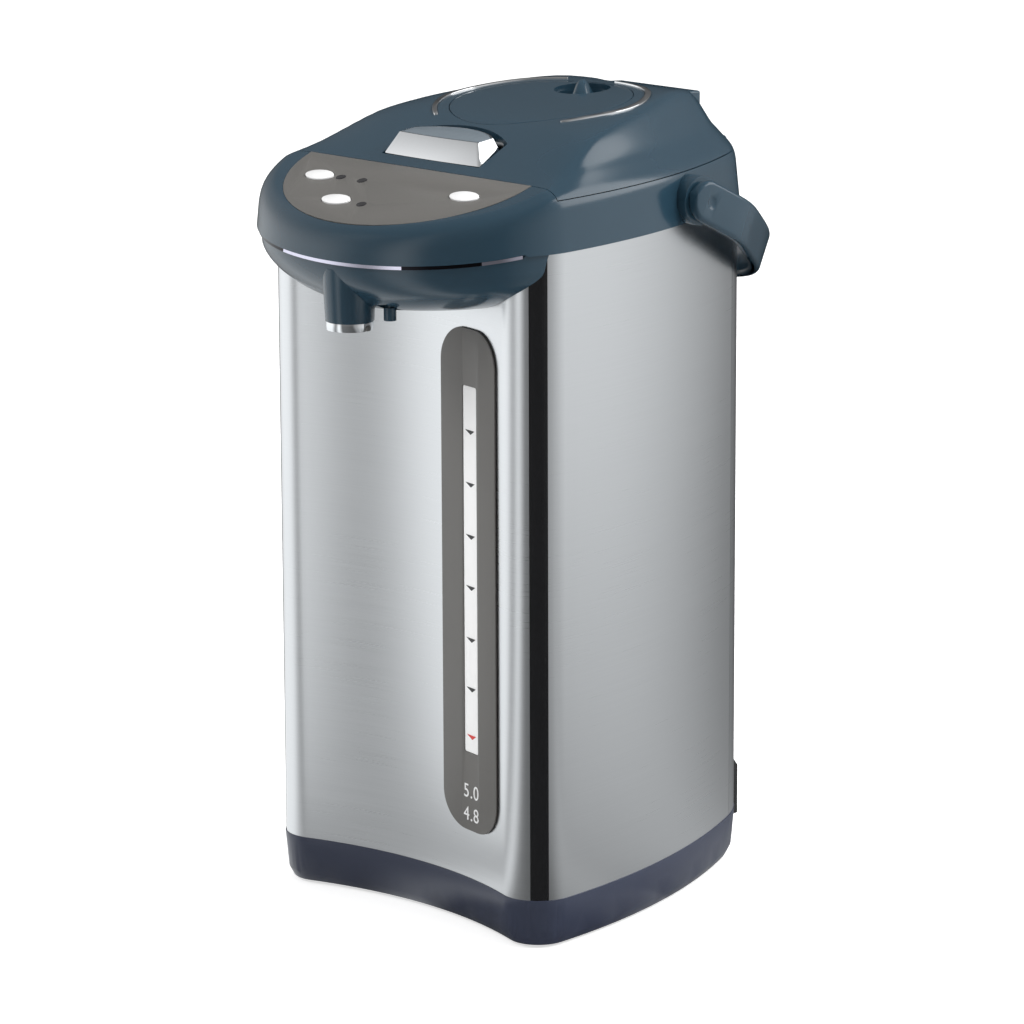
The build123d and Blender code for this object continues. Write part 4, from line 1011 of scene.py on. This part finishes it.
gauge = dict(x=39.5, faceOff=0.8, panelOff=1.2, half=3.6, tipHalf=0.6, drop=2.0, raised=0.14,
             sunk=0.3, blackAt=(238.6, 213.9, 189.3, 165.1, 140.4, 116.7), redAt=(93.9,),
             figures={"capacityUpper": ("5.0", 63.6), "capacityLower": ("4.8", 52.6)},
             figureSize=9.4, figureDepth=0.25, figureSunk=0.2, figureSpacing=1.1)


def onFront(x, z, off):
    # a place on the hollow front, raised by off
    return (x, frontCentre[1] + math.sqrt((head["frontRadius"] - off) ** 2 - x * x), z)


def makeMarks(name, heights, finish):
    made = []
    low, high = gauge["faceOff"] - gauge["sunk"], gauge["faceOff"] + gauge["raised"]
    for top in heights:
        plan = [(-gauge["half"], top), (gauge["half"], top),
                (gauge["tipHalf"], top - gauge["drop"])]
        made.append(ringLoft(name, [[onFront(gauge["x"] + x, z, off) for x, z in plan]
                                    for off in (low, high)]))
    obj = settle(joined(made), finish, name, "pot")
    return obj


def makeFigures(name, text, z):
    bpy.ops.object.text_add()
    obj = bpy.context.object
    obj.data.body = text
    obj.data.size = gauge["figureSize"] * mm
    obj.data.align_x = "CENTER"
    obj.data.extrude = gauge["figureDepth"] * mm
    obj.data.space_character = gauge["figureSpacing"]
    bpy.ops.object.convert(target="MESH")
    for vertex in obj.data.vertices:
        x, up, depth = (c / mm for c in vertex.co)
        off = gauge["panelOff"] + (gauge["raised"] if depth > 0 else -gauge["figureSunk"])
        vertex.co = Vector(onFront(gauge["x"] + x, z + up, off)) * mm
    edit(obj)
    bpy.ops.mesh.remove_doubles(threshold=0.000005)
    bpy.ops.mesh.normals_make_consistent(inside=False)
    leave()
    obj = settle(obj, "whiteInk", name, "pot")
    return obj


# stripEdge: where the black strip begins, as a bearing in degrees about the corner's centre
sheet = dict(base=24.0, top=326.0, wall=0.8, stripEdge=-57.6, stripGap=0.4, cornerSteps=12,
             frontSteps=64, windowHalf=6.3, window=(-130, -60, 83.5, 261.0),
             passage=(8, 50, -100, -80, 318, 330))


def sheetLine(off):
    start = bearing(cornerCentre, frontCentre)
    end = math.radians(sheet["stripEdge"] - sheet["stripGap"])
    corner = arcPoints(cornerCentre, head["cornerRadius"] + off, end, start,
                       sheet["cornerSteps"])
    front = [onCircle(frontCentre, head["frontRadius"] - off,
                      frontAngle + (math.pi - 2 * frontAngle) * i / sheet["frontSteps"])
             for i in range(sheet["frontSteps"] + 1)]
    return corner + front + [(-x, y) for x, y in reversed(corner)]


def makeFrontSheet():
    # the hollow steel front with its rounded right and left edges and the gauge's opening
    obj = prism(sheetLine(0.0) + sheetLine(-sheet["wall"])[::-1], sheet["base"], sheet["top"])
    cut(obj, block(gauge["x"] - sheet["windowHalf"], gauge["x"] + sheet["windowHalf"],
                   *sheet["window"]), block(*sheet["passage"]))
    return place(rounded(obj), "frontSheet", "front_panel")


for make in (makeFrontSheet, makeCollar, makeLid, makeArcs, makeLatch, makeVent, makeDisc,
             makeKnob, makeBelly, makeSlotTrim, makeHandle):
    began = time.time()
    piece = make()
    took = round(time.time() - began, 1)
    print("made", piece.name, len(piece.data.polygons), "faces", took, "s")
for soft in ("lidBellows", "lidSpring"):
    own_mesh(pieces[soft])
makeMarks("gaugeMarks", gauge["blackAt"], "inkMark")
makeMarks("refillMark", gauge["redAt"], "redMark")
for name, (text, z) in gauge["figures"].items():
    makeFigures(name, text, z)
print("gauge marked")

cameraView = dict(at=(1.6101, -1.6829, 0.7235), tilt=13.19, azimuth=44.21, roll=-0.23, lens=175.78,
                  sensor=36.0, near=0.05, far=60.0)
bpy.ops.object.camera_add(location=cameraView["at"])
camera = bpy.context.object
camera.name = "viewCamera"
aim = (Matrix.Rotation(math.radians(cameraView["azimuth"]), 3, "Z")
       @ Matrix.Rotation(math.radians(90 - cameraView["tilt"]), 3, "X")
       @ Matrix.Rotation(math.radians(cameraView["roll"]), 3, "Z"))
camera.rotation_euler = aim.to_euler()
camera.data.lens = cameraView["lens"]
camera.data.sensor_width = cameraView["sensor"]
camera.data.clip_start = cameraView["near"]
camera.data.clip_end = cameraView["far"]
bpy.context.scene.camera = camera

# what polished faces see round the object: (bearing in degrees, brightness)
surround = [(-180, 1.22), (-172, 1.25), (-138, 1.25), (-114, 0.36), (-97, 1.25), (-80, 0.18),
            (-34, 0.12), (-16, 0.40), (4, 0.66), (24, 0.84), (40, 0.93), (52, 0.92), (66, 0.76),
            (78, 0.55), (90, 0.36), (102, 0.16), (116, 0.03), (142, 0.02), (180, 1.15)]
brightest = 1.25
# glow: how much the camera sees added; fade: how the mirrored floor darkens toward its middle
floorLook = dict(size=40.0, colour=(0.80, 0.80, 0.80), roughness=0.9, glow=0.62,
                 mirrored=(0.97, 0.99, 1.0, 1), fadeOver=1.5, fade=0.12, rearFade=0.40)
skyLook = dict(colour=(1.0, 1.0, 1.0, 1), liftPower=1.3, lift=0.30, plain=0.5, seen=0.6)


def surroundLight(coords):
    # brightness by bearing, from a ramp that runs once round
    x = addNode(coords.tree, "ShaderNodeSeparateXYZ", {0: coords})
    y, z = x.sibling(1), x.sibling(2)
    turn = y.combine("ARCTAN2", x) / (2 * math.pi) + 0.5
    stops = [(degree / 360 + 0.5, level / brightest) for degree, level in surround]
    ramp = addNode(coords.tree, "ShaderNodeValToRGB", {0: turn}, stops=stops)
    return ramp * brightest, x, y, z


def makeFloor():
    # plain and pale to the camera, and the lower half of the surround to polished faces
    bpy.ops.mesh.primitive_plane_add(size=floorLook["size"], location=(0, 0, 0))
    floor = bpy.context.object
    floor.name = "studioFloor"
    f = Finish("paleFloor", floorLook["colour"], floorLook["roughness"])
    seen = f.node("ShaderNodeLightPath", output="Is Camera Ray")
    glow = f.node("ShaderNodeEmission", {"Strength": seen * floorLook["glow"]})
    plain = f.node("ShaderNodeAddShader", {0: Signal(f.tree, f.shader.outputs[0]), 1: glow})
    level, x, y, z = surroundLight(f.coords)
    away = ((x * x + y * y) ** 0.5 / floorLook["fadeOver"]).combine("MINIMUM", 1.0)
    fade = 1 - (1 - away) * ((y > 0) * floorLook["rearFade"] + floorLook["fade"])
    mirror = {"Color": floorLook["mirrored"], "Strength": level * fade}
    mirrored = f.node("ShaderNodeEmission", mirror)
    glossy = seen.sibling("Is Glossy Ray")
    choose = f.node("ShaderNodeMixShader", {0: glossy, 1: plain, 2: mirrored})
    f.tree.links.new(choose.socket, f.tree.nodes["Material Output"].inputs[0])
    floor.data.materials.append(f.material)


def makeWorld():
    # an even light, but polished faces see the surround with a dimmer sky above it
    world = bpy.data.worlds.new("studioWorld")
    bpy.context.scene.world = world
    world.use_nodes = True
    tree = world.node_tree
    seen = addNode(tree, "ShaderNodeLightPath", output="Is Camera Ray")
    glossy = seen.sibling("Is Glossy Ray")
    level, x, y, z = surroundLight(addNode(tree, "ShaderNodeTexCoord", output="Generated"))
    lift = (z * skyLook["liftPower"]).combine("MINIMUM", 1.0)
    glossyLevel = level * (1 - lift) + lift * skyLook["lift"]
    plainLevel = seen * skyLook["seen"] + skyLook["plain"]
    strength = glossy * glossyLevel + (1 - glossy) * plainLevel
    background = tree.nodes["Background"]
    background.inputs["Color"].default_value = skyLook["colour"]
    tree.links.new(strength.socket, background.inputs["Strength"])


lamps = {
    "keyLamp": dict(at=(-1.6, -1.9, 2.1), aim=(0, 0, 0.2), size=1.2, power=30, mirrored=False),
    "sideLamp": dict(at=(2.0, 0.9, 1.8), aim=(0, 0, 0.2), size=1.0, power=34, mirrored=False),
    "backPanel": dict(at=(1.22, 1.80, 1.48), aim=(0, 0, 0.35), size=1.6, power=18, mirrored=True),
    "topLamp": dict(at=(0.3, 0.5, 2.4), aim=(0, 0, 0.3), size=1.6, power=30, mirrored=False),
}
makeFloor()
makeWorld()
for name, lamp in lamps.items():
    bpy.ops.object.light_add(type="AREA", location=lamp["at"])
    light = bpy.context.object
    light.name = name
    light.data.size = lamp["size"]
    light.data.energy = lamp["power"]
    light.visible_glossy = lamp["mirrored"]
    aim = Vector(lamp["aim"]) - Vector(lamp["at"])
    light.rotation_euler = aim.to_track_quat("-Z", "Y").to_euler()
bpy.context.scene.view_settings.view_transform = "Standard"
print("stage set")
